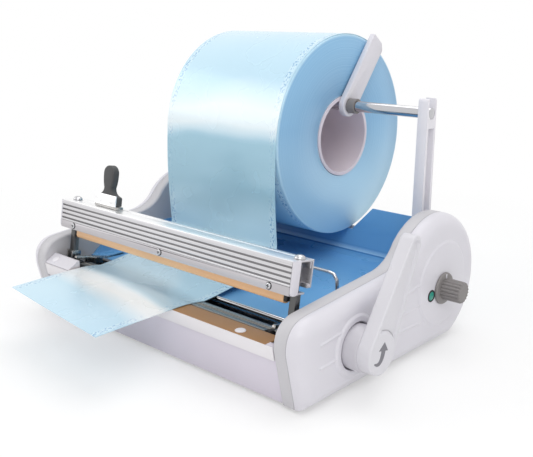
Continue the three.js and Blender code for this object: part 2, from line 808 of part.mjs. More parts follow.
for (const [side, sign] of [['left', -1], ['right', 1]]) {
  const from = sign * (barLength / 2 - endCapThickness + seat);
  const to = sign * barLength / 2;
  piece(`bar_end_cap_${side}`, drawnAlongX(roundedOutline([
    [-barForward, barFoot, endCapRound], [boxDepth - barForward, barFoot, endCapRound],
    [boxDepth - barForward, barTop, seat], [-barForward, barTop, seat],
  ]), Math.min(from, to), Math.max(from, to), 4), finishes.casing, pressBar);
}
const railHalf = barLength / 2 - endCapThickness;

// Round head standing forward of a face at the given depth
function screwHead(x, y, z) {
  return new THREE.CylinderGeometry(screwHeadRadius, screwHeadRadius, screwHeadHeight + seat, 14)
    .translate(x, y - (screwHeadHeight - seat) / 2, z);
}
piece('clamp_rail', join(
  block(-railHalf, railHalf, -barForward, -barForward + railThickness - seat, barFoot, barFoot + railHeight - seat),
  ...[-screwPitch, 0, screwPitch].map((x) => screwHead(x, -barForward, barFoot + railHeight / 2)),
), finishes.aluminium, pressBar);

function sealStrip() {
  const half = stripWidth / 2;
  const shape = roundedOutline([
    [-half, stripFoot, half * 0.9], [half, stripFoot, half * 0.9],
    [half, stripFoot + stripHeight, seat], [-half, stripFoot + stripHeight, seat],
  ]);
  return drawnAlongX(shape, -stripLength / 2, stripLength / 2, 6);
}
piece('seal_strip', sealStrip(), finishes.strip, pressBar);

// Cutter: a shoe on the bar, a handle over it and a blade behind
const cutter = new THREE.Group();
cutter.position.set(cutterPlace, cutterV, barTop + seat);
pressBar.add(cutter);

function cutterHandle() {
  const base = cutterBaseWidth / 2;
  const neck = cutterNeckWidth / 2;
  const grip = cutterGripWidth / 2;
  const foot = cutterShoeHeight + seat;
  const gripFoot = cutterHeight - cutterGripWidth;
  const shape = new THREE.Shape();
  shape.moveTo(-base, foot);
  shape.lineTo(-base, cutterPlateHeight);
  shape.quadraticCurveTo(-base, cutterSkirt, -neck, cutterSkirt + neck);
  shape.lineTo(-neck, gripFoot);
  shape.quadraticCurveTo(-grip, gripFoot, -grip, cutterHeight - grip);
  shape.absarc(0, cutterHeight - grip, grip, Math.PI, 0, true);
  shape.quadraticCurveTo(grip, gripFoot, neck, gripFoot);
  shape.lineTo(neck, cutterSkirt + neck);
  shape.quadraticCurveTo(base, cutterSkirt, base, cutterPlateHeight);
  shape.lineTo(base, foot);
  return new THREE.ExtrudeGeometry(shape, { depth: cutterThickness, bevelEnabled: false, curveSegments: 6 })
    .rotateX(Math.PI / 2).translate(0, cutterThickness / 2, 0);
}
piece('cutter_handle', cutterHandle(), finishes.grip, cutter);
piece('cutter_shoe', block(
  -cutterShoeLength / 2, cutterShoeLength / 2, -cutterThickness / 2, cutterThickness / 2, 0, cutterShoeHeight,
), finishes.steel, cutter);
const plateY = -cutterThickness / 2 - seat;
piece('cutter_plate', join(
  block(
    -cutterBaseWidth / 2, cutterBaseWidth / 2, plateY - cutterPlateThickness, plateY,
    cutterShoeHeight, cutterShoeHeight + cutterPlateHeight,
  ),
  ...[-1, 1].map((sign) => screwHead(
    sign * cutterBaseWidth / 4, plateY - cutterPlateThickness, cutterShoeHeight + cutterPlateHeight / 3,
  )),
), finishes.aluminium, cutter);
piece('cutter_blade', block(
  -bladeWidth / 2, bladeWidth / 2, bladeY, bladeY + bladeThickness, -bladeReach, cutterShoeHeight + cutterPlateHeight,
), finishes.chrome, cutter);

// Lever, its shaft and the forked cranks that pull the bar down
const leverGroup = new THREE.Group();
leverGroup.position.set(0, hubY, hubHeight);
sealer.add(leverGroup);
const leverFace = outerFace + reliefHeight + hubLength * 0.65;

function lever() {
  const lean = deg(leverLeanAngle);
  const tip = new THREE.Vector2(leverReach * Math.sin(lean), leverReach * Math.cos(lean));
  const spread = Math.acos((leverBossRadius - leverTipRadius) / leverReach);
  const axis = Math.PI / 2 - lean;
  const shape = new THREE.Shape();
  shape.absarc(0, 0, leverBossRadius, axis + spread, axis - spread, false);
  shape.absarc(tip.x, tip.y, leverTipRadius, axis - spread, axis + spread, false);
  const arm = new THREE.ExtrudeGeometry(shape, {
    depth: leverThickness - 2 * leverDraft, bevelThickness: leverDraft, bevelSize: leverDraft,
    bevelOffset: -leverDraft, bevelSegments: 3, curveSegments: 14,
  }).applyMatrix4(alongX).translate(leverFace + leverDraft, 0, 0);
  const hub = roundX(hubRadius, splitFace + casingWall, leverFace + leverThickness / 2, 0, 0, 32);
  const bore = roundX(shaftRadius + seat, splitFace - overrun, outerFace, 0, 0, 24);
  return join(arm, hub).subtract(toSolid(bore));
}
piece('lever', lever(), finishes.casing, leverGroup);
piece('cross_shaft', roundX(shaftRadius, casingWall - splitFace, outerFace - seat, 0, 0, 24), finishes.steel, leverGroup);

// Pin places seen from the shaft, with the bar up and down
function pinFromShaft(drop) {
  const lean = deg(leanAngle);
  const w = -pinDrop - drop;
  return new THREE.Vector2(
    placeY(sealBack) + w * Math.sin(lean) - hubY,
    sealHeight + w * Math.cos(lean) - hubHeight,
  );
}
const pinUp = pinFromShaft(0);
const pinDown = pinFromShaft(barTravel);
const crankAngle = Math.atan2(pinUp.y, -pinUp.x);
export const leverSwing = crankAngle - Math.atan2(pinDown.y, -pinDown.x);

function crank() {
  const near = pinUp.length() - pinRadius - crankForkReach / 2;
  const far = pinDown.length() + crankForkReach / 2;
  const half = crankWidth / 2;
  const plate = drawnAlongX(roundedOutline([
    [-far, -half, crankRound], [-far, half, crankRound], [half, half * 1.3, half * 0.9], [half, -half * 1.3, half * 0.9],
  ]), -crankThickness / 2, crankThickness / 2, 5);
  const slotHalf = pinRadius + crankSlotClearance;
  return cut(
    plate,
    roundX(shaftRadius + seat, -overrun, overrun, 0, 0, 24),
    block(-overrun, overrun, -far - overrun, -near, -slotHalf, slotHalf),
  );
}
for (const [side, sign] of [['left', -1], ['right', 1]]) {
  const arm = piece(`crank_${side}`, crank(), finishes.steel, leverGroup);
  arm.position.x = sign * crankPlace;
  arm.rotation.x = -crankAngle;
}

// Timer knob, its control and the lamp
const knobGroup = new THREE.Group();
knobGroup.position.set(0, knobY, knobHeight);
sealer.add(knobGroup);

function knob() {
  const from = outerFace + reliefHeight + seat;
  const gripFrom = from + knobFlangeThickness;
  const gripShape = new THREE.Shape(Array.from({ length: knobFlutes * 2 }, (_, i) => {
    const angle = Math.PI * i / knobFlutes;
    const radius = knobRadius - (i % 2) * knobFluteDepth;
    return new THREE.Vector2(radius * Math.cos(angle), radius * Math.sin(angle));
  }));
  const gripBody = drawnAlongX(gripShape, gripFrom - seat, from + knobLength);
  const stem = roundX(shaftRadius - 2 * seat, splitFace + potLength + seat, from + seat, 0, 0, 16);
  return join(roundX(knobFlangeRadius, from, gripFrom, 0, 0, 32), gripBody, stem);
}
piece('timer_knob', knob(), finishes.knob, knobGroup);
piece('timer_control', roundX(potRadius, splitFace + seat, splitFace + potLength, knobY, knobHeight, 20), finishes.steel);
piece('power_lamp', lathedAlongX([
  [0, outerFace - casingWall], [lampRadius, outerFace - casingWall], [lampRadius, outerFace + reliefHeight + seat],
  [lampRadius * 0.7, outerFace + reliefHeight + lampDome * 0.75], [0, outerFace + reliefHeight + lampDome],
], 20).translate(0, lampY, lampHeight), finishes.lamp);

// Chrome edge rod and wire that holds the film down
const edgeRodHalf = jawHalf + crankNotch;
piece('edge_rod', roundX(edgeRodRadius, -edgeRodHalf, edgeRodHalf, placeY(edgeRodBack), edgeRodHeight, 16), finishes.chrome);

function wireGuide() {
  const y = placeY(wireBack);
  const low = trayFloorHeight + traySkin / 2 + seat;
  const path = new THREE.CurvePath();
  const at = (x, z) => new THREE.Vector3(x, y, z);
  const corners = [[-1, 1], [1, -1]];
  path.add(new THREE.LineCurve3(at(-wireHalf, low), at(-wireHalf, wireHeight - wireBend)));
  path.add(new THREE.QuadraticBezierCurve3(
    at(-wireHalf, wireHeight - wireBend), at(-wireHalf, wireHeight), at(corners[0][0] * (wireHalf - wireBend), wireHeight),
  ));
  path.add(new THREE.LineCurve3(at(wireBend - wireHalf, wireHeight), at(wireHalf - wireBend, wireHeight)));
  path.add(new THREE.QuadraticBezierCurve3(
    at(corners[1][0] * (wireHalf - wireBend), wireHeight), at(wireHalf, wireHeight), at(wireHalf, wireHeight - wireBend),
  ));
  path.add(new THREE.LineCurve3(at(wireHalf, wireHeight - wireBend), at(wireHalf, low)));
  const section = new THREE.Shape().absarc(0, 0, wireRadius, 0, 2 * Math.PI, false);
  return new THREE.ExtrudeGeometry(section, { steps: 60, extrudePath: path, curveSegments: 4 });
}
piece('wire_guide', wireGuide(), finishes.chrome);

// Reel stand: two forked uprights and the rod
function upright(side) {
  const topHalf = uprightDepth / 2;
  const lowHalf = topHalf + uprightFlare / 2;
  const x0 = side * uprightPlace - uprightWidth / 2;
  const x1 = x0 + uprightWidth;
  const head = rodHeight + uprightHead;
  const body = drawnAlongX(roundedOutline([
    [rodY - lowHalf, panTop + seat, seat], [rodY - topHalf, head, topHalf / 2],
    [rodY + topHalf, head, topHalf / 2], [rodY + lowHalf, panTop + seat, seat],
  ]), x0, x1, 4);
  const slotHalf = rodRadius + seat;
  const slot = block(x0 - overrun, x1 + overrun, rodY - slotHalf, rodY + slotHalf, rodHeight, head + overrun);
  const seatRound = roundX(slotHalf, x0 - overrun, x1 + overrun, rodY, rodHeight, 24);
  const open = side > 0 ? [x0 + uprightSkin, x1 + overrun] : [x0 - overrun, x1 - uprightSkin];
  const channel = block(
    ...open, rodY - topHalf + uprightSkin, rodY + topHalf - uprightSkin,
    panTop + overrun, rodHeight - uprightHead,
  );
  return cut(body, slot, seatRound, channel);
}
piece('upright_left', upright(-1), finishes.casing);
piece('upright_right', upright(1), finishes.casing);
const rodEnd = uprightPlace + uprightWidth / 2 - seat;
piece('reel_rod', roundX(rodRadius, -rodEnd, rodEnd, rodY, rodHeight, 32), finishes.chrome);

// Reel, hung on the rod by its core
const reel = new THREE.Group();
reel.position.set(0, rodY, reelHeight);
sealer.add(reel);

function ring(inner, outer, from, to, sides) {
  return lathedAlongX([[inner, from], [outer, from], [outer, to], [inner, to], [inner, from]], sides);
}
piece('reel_core', ring(coreOuter - coreWall, coreOuter, rollLeft - coreLip, rollRight + coreLip, 48), finishes.core, reel);
piece('film_roll', ring(coreOuter + seat, rollRadius, rollLeft, rollRight, 72), finishes.roll, reel);

// Reel stops: a bush that slides on the rod and an arm that turns on it
function stopArm() {
  const lean = deg(stopLeanAngle);
  const half = stopWidth / 2;
  const shape = new THREE.Shape();
  shape.absarc(0, 0, half, Math.PI, 2 * Math.PI, false);
  shape.lineTo(half, stopReach - half / 2);
  shape.lineTo(half / 2, stopReach);
  shape.lineTo(-half, stopReach);
  shape.closePath();
  const plate = new THREE.ExtrudeGeometry(shape, { depth: stopThickness, bevelEnabled: false, curveSegments: 10 })
    .applyMatrix4(alongX).rotateX(-lean);
  return cut(plate, roundX(stopNeckRadius + seat, -overrun, overrun, 0, 0, 24));
}

function stopBush() {
  const neckEnd = stopThickness + 2 * seat;
  return lathedAlongX([
    [rodRadius + seat, 0], [stopNeckRadius, 0], [stopNeckRadius, neckEnd], [stopBushRadius, neckEnd],
    [stopBushRadius, neckEnd + stopBushLength], [rodRadius + seat, neckEnd + stopBushLength], [rodRadius + seat, 0],
  ], 24);
}
const stops = { left: rollLeft - coreLip - 2 * seat, right: rollRight + coreLip + 2 * seat };
for (const [side, sign] of [['left', -1], ['right', 1]]) {
  const facing = (shape) => (sign > 0 ? shape : mirrored(shape.isBufferGeometry ? shape : toGeometry(shape)));
  piece(`stop_arm_${side}`, facing(stopArm()), finishes.casing).position.set(stops[side] + sign * seat, rodY, rodHeight);
  piece(`stop_bush_${side}`, facing(stopBush()), finishes.knob).position.set(stops[side], rodY, rodHeight);
}

// Film web from the reel, under the wire, over the jaw and out of the front
function jawPoint(v, w) {
  const lean = deg(leanAngle);
  return [placeY(sealBack) + v * Math.cos(lean) + w * Math.sin(lean), sealHeight - v * Math.sin(lean) + w * Math.cos(lean)];
}

function filmPath() {
  const over = seat + filmThickness / 2;
  const wireReach = wireRadius + filmThickness;
  return [
    [rodY - rollRadius - filmThickness - seat, reelHeight],
    ...wireTurns.map((angle) => [
      placeY(wireBack) + wireReach * Math.cos(deg(angle)), wireHeight - wireReach * Math.sin(deg(angle)),
    ]),
    [placeY(edgeRodBack), edgeRodHeight + edgeRodRadius + over],
    jawPoint(jawDepth / 3, over),
    jawPoint(-jawDepth / 2, over),
    [front + beamFlange, beamTop + over + seat],
    [front, beamTop + over + seat],
    [front - filmReach / 2, beamTop + over - filmDroop / 4],
    [front - filmReach, beamTop + over - filmDroop],
  ];
}
const cutOff = block(-bodyWidth, bodyWidth, -filmReach, 0, 0, casingFrontTop)
  .rotateZ(-deg(filmCutAngle)).translate(rollRight - filmMargin, front - filmReach, 0);
piece('film_web', cut(
  drawnAlongX(ribbon(filmPath(), filmThickness), rollLeft + filmMargin, rollRight - filmMargin), cutOff,
), finishes.film);

// Inside the base
const transformerFrom = [-transformerPlace - transformerSize[0] / 2, rodY - transformerSize[1]];
piece('transformer', block(
  transformerFrom[0], transformerFrom[0] + transformerSize[0], transformerFrom[1], transformerFrom[1] + transformerSize[1],
  panTop + seat, panTop + seat + transformerSize[2],
), finishes.copper);
piece('control_board', block(
  transformerPlace - boardSize[0] / 2, transformerPlace + boardSize[0] / 2, rodY - boardSize[1], rodY,
  panTop + seat, panTop + seat + boardSize[2] * 0.8,
), finishes.board);
piece('seal_switch', block(
  crankPlace - crankWidth - switchSize[0], crankPlace - crankWidth, hubY - switchSize[1] / 2, hubY + switchSize[1] / 2,
  panTop + seat, panTop + seat + switchSize[2],
), finishes.rubber);

// The group stands on its lowest point, over the middle of its own outline
const extent = new THREE.Box3().setFromObject(sealer);
const middle = extent.getCenter(new THREE.Vector3());
sealer.position.set(-middle.x, -middle.y, -extent.min.z);

export default sealer;
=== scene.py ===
import bpy, bmesh, json, math
from mathutils import Matrix, Vector


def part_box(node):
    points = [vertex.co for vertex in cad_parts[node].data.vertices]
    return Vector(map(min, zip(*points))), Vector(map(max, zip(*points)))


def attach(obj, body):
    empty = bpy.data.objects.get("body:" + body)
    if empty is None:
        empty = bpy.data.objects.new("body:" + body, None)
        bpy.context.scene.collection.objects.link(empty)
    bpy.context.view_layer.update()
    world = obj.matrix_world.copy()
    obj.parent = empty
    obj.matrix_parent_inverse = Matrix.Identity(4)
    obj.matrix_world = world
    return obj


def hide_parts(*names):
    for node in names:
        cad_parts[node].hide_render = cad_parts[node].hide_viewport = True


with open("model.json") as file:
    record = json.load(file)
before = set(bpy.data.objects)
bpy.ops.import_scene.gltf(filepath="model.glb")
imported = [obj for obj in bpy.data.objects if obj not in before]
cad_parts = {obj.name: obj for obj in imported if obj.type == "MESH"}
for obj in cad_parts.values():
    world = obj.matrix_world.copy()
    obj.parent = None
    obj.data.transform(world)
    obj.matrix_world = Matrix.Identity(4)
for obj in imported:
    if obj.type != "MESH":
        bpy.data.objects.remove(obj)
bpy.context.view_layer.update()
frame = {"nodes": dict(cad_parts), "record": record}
nodes = frame["nodes"]
scene = bpy.context.scene
mm = 0.001

# The drawing's own zero: midway between the casings, at half the depth of the body
bodyDepth = 305
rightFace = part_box("right_outer_casing")
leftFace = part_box("left_outer_casing")
midX = (leftFace[0][0] + rightFace[1][0]) / 2
midY = rightFace[1][1] - bodyDepth / 2 * mm


def at(x, y, z):  # millimetres of the drawing to the frame's metres
    return Vector((midX + x * mm, midY + y * mm, z * mm))


leanSizes = {"angle": math.radians(9.1), "backFromMiddle": -119.0, "height": 62.0, "travel": 26.0}


def leaning(x, depth, rise):  # the sealing station's own leaning directions, with the bar up
    s, c = math.sin(leanSizes["angle"]), math.cos(leanSizes["angle"])
    up = rise + leanSizes["travel"]
    return at(x, leanSizes["backFromMiddle"] + depth * c + up * s, leanSizes["height"] - depth * s + up * c)


print("frame loaded with", len(nodes), "nodes")

# Mesh tools


def newPiece(name, bm, smoothAngle=40):
    bmesh.ops.remove_doubles(bm, verts=bm.verts, dist=1e-6)
    bmesh.ops.recalc_face_normals(bm, faces=bm.faces)
    mesh = bpy.data.meshes.new(name)
    bm.to_mesh(mesh)
    bm.free()
    for polygon in mesh.polygons:
        polygon.use_smooth = True
    mesh.set_sharp_from_angle(angle=math.radians(smoothAngle))
    piece = bpy.data.objects.new(name, mesh)
    scene.collection.objects.link(piece)
    return piece


def finishPiece(piece, body, material, replaced=()):
    piece.data.materials.clear()
    piece.data.materials.append(material)
    if replaced:
        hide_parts(*replaced)
    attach(piece, body)


def inward(points, inset):
    moved = []
    for i, here in enumerate(points):
        before = (here - points[i - 1]).normalized()
        after = (points[(i + 1) % len(points)] - here).normalized()
        along = (before + after).normalized()
        moved.append(here + Vector((-along.y, along.x)) * inset / max(0.5, along.dot(after)))
    return moved


def edgeLevels(low, high, roundLow, roundHigh, steps):  # heights and insets of a slab with rounded rims
    levels = []
    for k in range(steps + 1):
        a = math.pi / 2 * k / steps
        levels.append((low + roundLow * (1 - math.cos(a)), roundLow * (1 - math.sin(a))))
    for k in range(steps, -1, -1):
        a = math.pi / 2 * k / steps
        levels.append((high - roundHigh * (1 - math.cos(a)), roundHigh * (1 - math.sin(a))))
    return levels


def walls(bm, rings):
    for lower, upper in zip(rings, rings[1:]):
        for i in range(len(lower)):
            j = (i + 1) % len(lower)
            bm.faces.new((lower[i], lower[j], upper[j], upper[i]))


# An outline raised through levels of height and inset; a pit is an outline with levels, sunk in the top
def slab(name, points, levels, put, smoothAngle=40, pit=None):
    bm = bmesh.new()

    def ringAt(outline, height, inset):
        return [bm.verts.new(put(p.x, p.y, height)) for p in inward(outline, inset)]

    rings = [ringAt(points, *level) for level in levels]
    walls(bm, rings)
    bm.faces.new(rings[0])
    if pit is None:
        bm.faces.new(rings[-1])
    else:
        pitPoints, pitLevels = pit
        sunk = [ringAt(pitPoints, *level) for level in pitLevels]
        walls(bm, sunk)
        bm.faces.new(sunk[-1])
        between = [(ring[i - 1], ring[i]) for ring in (rings[-1], sunk[0]) for i in range(len(ring))]
        borders = [bm.edges.get(pair) for pair in between]
        bmesh.ops.triangle_fill(bm, use_beauty=True, use_dissolve=False, edges=borders)
    return newPiece(name, bm, smoothAngle)


def levelsFrom(height, rims):  # rims tell how far above a height a level lies, or below it, and its inset
    return [(height + above, inset) for above, inset in rims]


def profileFrom(radius, levels):
    return [[radius - inset, x] for x, inset in levels]


def alongX(y, z, height):
    return at(height, y, z)


# A profile of [radius, x] turned round the X axis
def lathe(name, profile, centre, sides, closed=False, smoothAngle=40):
    bm = bmesh.new()
    rings = []
    for radius, x in profile:
        around = circle(centre, radius, sides if radius else 1)
        rings.append([bm.verts.new(at(x, p.x, p.y)) for p in around])
    pairs = list(zip(rings, rings[1:])) + ([(rings[-1], rings[0])] if closed else [])
    for a, b in pairs:
        for i in range(sides):
            j = (i + 1) % sides
            corners = [a[i % len(a)], a[j % len(a)], b[j % len(b)], b[i % len(b)]]
            bm.faces.new(list(dict.fromkeys(corners)))
    return newPiece(name, bm, smoothAngle)


def circle(centre, radius, count):
    return [Vector((centre[0] + radius * math.cos(2 * math.pi * k / count),
                    centre[1] + radius * math.sin(2 * math.pi * k / count))) for k in range(count)]


def direction(degrees):  # one unit long, turned from the first axis to the second
    return Vector((math.cos(math.radians(degrees)), math.sin(math.radians(degrees))))


def arc(centre, radius, start, end, count):
    return [Vector((centre[0] + radius * math.cos(math.radians(start + (end - start) * k / count)),
                    centre[1] + radius * math.sin(math.radians(start + (end - start) * k / count))))
            for k in range(count + 1)]


def bend(start, control, end, count):
    points = []
    for k in range(count + 1):
        t = k / count
        points.append(start * (1 - t) ** 2 + control * 2 * t * (1 - t) + end * t ** 2)
    return points


def strewn(points, spacing):  # more points along long straight stretches of a closed outline
    filled = []
    for i, here in enumerate(points):
        there = points[(i + 1) % len(points)]
        parts = max(1, round((there - here).length / spacing))
        filled += [here.lerp(there, k / parts) for k in range(parts)]
    return filled


# Materials


def nodeMaterial(name, roughness, metallic=0.0, **sockets):
    material = bpy.data.materials.new(name)
    material.use_nodes = True
    shader = material.node_tree.nodes["Principled BSDF"]
    shader.inputs["Roughness"].default_value = roughness
    shader.inputs["Metallic"].default_value = metallic
    for socket, value in sockets.items():
        shader.inputs[socket.replace("_", " ")].default_value = value
    return material


def mapped(material, scale):  # the place on the part in metres, stretched
    tree = material.node_tree
    coordinates = tree.nodes.new("ShaderNodeTexCoord")
    mapping = tree.nodes.new("ShaderNodeMapping")
    mapping.inputs["Scale"].default_value = scale
    tree.links.new(coordinates.outputs["Object"], mapping.inputs["Vector"])
    return mapping.outputs["Vector"]


def noise(material, scale, detail=3.0, stretch=(1, 1, 1)):
    node = material.node_tree.nodes.new("ShaderNodeTexNoise")
    node.inputs["Scale"].default_value = scale
    node.inputs["Detail"].default_value = detail
    material.node_tree.links.new(mapped(material, stretch), node.inputs["Vector"])
    return node.outputs["Fac"]


def ramp(material, factor, stops):
    node = material.node_tree.nodes.new("ShaderNodeValToRGB")
    elements = node.color_ramp.elements
    while len(elements) < len(stops):
        elements.new(0.5)
    for element, (position, colour) in zip(elements, stops):
        element.position = position
        element.color = (*colour, 1)
    material.node_tree.links.new(factor, node.inputs["Fac"])
    return node.outputs["Color"]


def feed(material, output, socket):
    material.node_tree.links.new(output, material.node_tree.nodes["Principled BSDF"].inputs[socket])


def spread(material, factor, low, high, fromLow=0.3, fromHigh=0.7):
    node = material.node_tree.nodes.new("ShaderNodeMapRange")
    for socket, value in (("From Min", fromLow), ("From Max", fromHigh), ("To Min", low), ("To Max", high)):
        node.inputs[socket].default_value = value
    material.node_tree.links.new(factor, node.inputs["Value"])
    return node.outputs["Result"]


def bumped(material, factor, strength, distance):
    node = material.node_tree.nodes.new("ShaderNodeBump")
    node.inputs["Strength"].default_value = strength
    node.inputs["Distance"].default_value = distance
    material.node_tree.links.new(factor, node.inputs["Height"])
    feed(material, node.outputs["Normal"], "Normal")


def tones(colour, amount):
    return [tuple(max(0, min(1, channel * k)) for channel in colour) for k in (1 - amount, 1 + amount)]


def mouldedPlastic(name, colour, roughness, grain=900, grainStrength=0.06, vary=0.02):
    material = nodeMaterial(name, roughness)
    low, high = tones(colour, vary)
    feed(material, ramp(material, noise(material, 9), [(0.3, low), (0.7, high)]), "Base Color")
    feed(material, spread(material, noise(material, 30), roughness * 0.88, roughness * 1.12), "Roughness")
    bumped(material, noise(material, grain, 2), grainStrength, 0.0002)
    return material


def linedMetal(name, colour, roughness, stretch=(9, 2600, 2600), strength=0.04, vary=0.03):
    material = nodeMaterial(name, roughness, 1.0)
    low, high = tones(colour, vary)
    lines = noise(material, 1.0, 4, stretch)
    feed(material, ramp(material, lines, [(0.3, low), (0.7, high)]), "Base Color")
    feed(material, spread(material, lines, roughness * 0.8, roughness * 1.3), "Roughness")
    bumped(material, lines, strength, 0.0002)
    return material


def maths(owner, operation, *values, clamp=False):  # the owner is a material or the world
    node = owner.node_tree.nodes.new("ShaderNodeMath")
    node.operation = operation
    node.use_clamp = clamp
    for socket, value in zip(node.inputs, values):
        if hasattr(value, "links"):
            owner.node_tree.links.new(value, socket)
        else:
            socket.default_value = value
    return node.outputs[0]


def product(material, a, b):
    return maths(material, "MULTIPLY", a, b, clamp=True)


def lengthOf(material, vector):
    node = material.node_tree.nodes.new("ShaderNodeVectorMath")
    node.operation = "LENGTH"
    material.node_tree.links.new(vector, node.inputs[0])
    return node.outputs["Value"]


def within(material, reading, places, depth=1):  # where it starts, is full, stays full and ends
    start, full, last, end = places
    return product(material, spread(material, reading, 0, depth, start, full),
                   spread(material, reading, 1, 0, last, end))


def blended(material, factor, under, over):
    node = material.node_tree.nodes.new("ShaderNodeMix")
    node.data_type = "RGBA"
    material.node_tree.links.new(factor, node.inputs["Factor"])
    for output, socket in ((under, node.inputs[6]), (over, node.inputs[7])):
        if hasattr(output, "links"):
            material.node_tree.links.new(output, socket)
        else:
            socket.default_value = (*output, 1)
    return node.outputs[2]


def colourOf(material):  # what feeds the base colour so far
    return material.node_tree.nodes["Principled BSDF"].inputs["Base Color"].links[0].from_socket


def placeAxis(material, name):  # one coordinate of the surface, in the frame of the finished part
    split = material.node_tree.nodes.new("ShaderNodeSeparateXYZ")
    material.node_tree.links.new(mapped(material, (1, 1, 1)), split.inputs["Vector"])
    return split.outputs[name]


casingPlastic = mouldedPlastic("casing plastic", (0.70, 0.685, 0.735), 0.34)
innerPlastic = mouldedPlastic("inner casing plastic", (0.56, 0.55, 0.575), 0.42)
leverPlastic = mouldedPlastic("lever plastic", (0.68, 0.67, 0.71), 0.3)
# the lever's plastic made darker: painted shade on the side of the hub
hubPlasticPaintedShade = mouldedPlastic("hub plastic with painted shade", (0.55, 0.535, 0.58), 0.34)
beamPlastic = mouldedPlastic("front panel plastic", (0.68, 0.64, 0.72), 0.38)
lipPlastic = mouldedPlastic("front lip plastic", (0.79, 0.765, 0.79), 0.36)
uprightPlastic = mouldedPlastic("upright plastic", (0.80, 0.785, 0.83), 0.34)
railAluminium = linedMetal("rail aluminium", (0.53, 0.51, 0.53), 0.34)
darkSteel = linedMetal("dark steel", (0.13, 0.13, 0.13), 0.3, (300, 300, 20), 0.05, 0.05)
jawAluminium = linedMetal("jaw aluminium", (0.30, 0.31, 0.31), 0.34)
platedSteel = linedMetal("plated steel", (0.42, 0.41, 0.40), 0.24, (300, 300, 20), 0.05, 0.05)
polishedChrome = linedMetal("polished chrome", (0.55, 0.55, 0.57), 0.1, (2, 250, 250), 0.02, 0.03)
dullRubber = mouldedPlastic("dull rubber", (0.022, 0.022, 0.025), 0.7, 1200, 0.15, 0.1)
stripSilicone = mouldedPlastic("orange silicone", (0.97, 0.60, 0.33), 0.42, 500, 0.06, 0.03)
deckBrown = mouldedPlastic("brown deck sheet", (0.34, 0.178, 0.068), 0.42, 300, 0.1, 0.09)
heaterTape = mouldedPlastic("heater tape", (0.25, 0.24, 0.22), 0.55, 1800, 0.35, 0.1)
gripPlastic = mouldedPlastic("dark grip plastic", (0.055, 0.055, 0.057), 0.5, 900, 0.1, 0.06)
knobPlastic = mouldedPlastic("warm grey knob plastic", (0.225, 0.21, 0.207), 0.45, 900, 0.1, 0.05)
paperCore = mouldedPlastic("wound paper", (0.74, 0.67, 0.73), 0.85, 260, 0.3, 0.12)
arrowInk = mouldedPlastic("grey arrow ink", (0.19, 0.185, 0.21), 0.5, 900, 0.02, 0.03)
shadowLine = mouldedPlastic("dark recess", (0.02, 0.02, 0.022), 0.8, 900, 0.02, 0.05)
boardGreen = mouldedPlastic("board green", (0.03, 0.15, 0.06), 0.5, 800, 0.1, 0.1)
windingCopper = linedMetal("lacquered winding", (0.5, 0.22, 0.1), 0.35, (900, 900, 3), 0.3, 0.15)
lampLens = mouldedPlastic("green lamp lens", (0.02, 0.25, 0.19), 0.12, 300, 0.3, 0.3)


def leanReading(material, shareY, shareZ):  # how far a point lies along a direction of the leaning station
    origin = leaning(0, 0, 0)
    alongY = maths(material, "MULTIPLY_ADD", placeAxis(material, "Y"), shareY, -shareY * origin.y)
    alongZ = maths(material, "MULTIPLY_ADD", placeAxis(material, "Z"), shareZ, -shareZ * origin.z)
    return maths(material, "ADD", alongY, alongZ)


# Press bar; groove: how far behind the face the painted groove shade starts, is full, stays full and ends
barSizes = {"front": -16.5, "foot": 12.8, "height": 31.4, "rail": 8.5, "screw": 150.0, "head": 2.9,
            "groove": (0.1, 0.4, 1.2, 1.4), "grooveBelowTop": (2.0, 1.6), "highlightBelowTop": (0.6, 0.2)}


def barFinish():  # pale extruded metal, with painted shade in the grooves of the front face and a painted highlight on top
    b = barSizes
    material = linedMetal("bar aluminium with painted shade and highlight", (0.68, 0.67, 0.69), 0.32)
    body = colourOf(material)
    angle = leanSizes["angle"]
    depth = leanReading(material, math.cos(angle), -math.sin(angle))
    rise = leanReading(material, math.sin(angle), math.cos(angle))
    top = b["foot"] + b["height"]
    underTop = spread(material, rise, 1, 0, *((top - down) * mm for down in b["grooveBelowTop"]))
    # painted shade: the grooves of the front face are darkened in the colour
    sunk = within(material, depth, [(b["front"] + place) * mm for place in b["groove"]])
    sunk = product(material, sunk, underTop)
    body = blended(material, product(material, sunk, 0.85), body, (0.14, 0.135, 0.14))
    # painted highlight: the top of the bar is lightened in the colour
    paintedTopHighlight = spread(material, rise, 0, 0.85, *((top - down) * mm for down in b["highlightBelowTop"]))
    feed(material, blended(material, paintedTopHighlight, body, (0.97, 0.97, 0.97)), "Base Color")
    return material


barAluminiumPaintedLight = barFinish()

# Where the floor is folded up: dark lines of painted shade with a pale line of painted highlight between
# them, from and to in Y
traySizes = {"dark": ((128.2, 129.8), (132.4, 133.8)), "pale": ((130.6, 131.6),), "soft": 0.5,
             "upTo": (70.0, 72.0)}


def trayFinish():  # blue paint, with painted shade in the creases of the fold and a painted highlight on its crest
    t = traySizes
    material = mouldedPlastic("blue tray paint", (0.15, 0.39, 0.70), 0.3, 700, 0.03, 0.03)
    body = colourOf(material)
    low = spread(material, placeAxis(material, "Z"), 1, 0, *(height * mm for height in t["upTo"]))
    # painted shade in the creases and a painted highlight on the crest of the fold
    for shade, colour in (("dark", (0.05, 0.20, 0.48)), ("pale", (0.45, 0.70, 0.93))):
        for start, end in t[shade]:
            places = [at(0, place, 0).y for place in (start - t["soft"], start, end, end + t["soft"])]
            line = within(material, placeAxis(material, "Y"), places, 0.85)
            body = blended(material, product(material, line, low), body, colour)
    feed(material, body, "Base Color")
    return material


trayPaint = trayFinish()

print("materials ready")

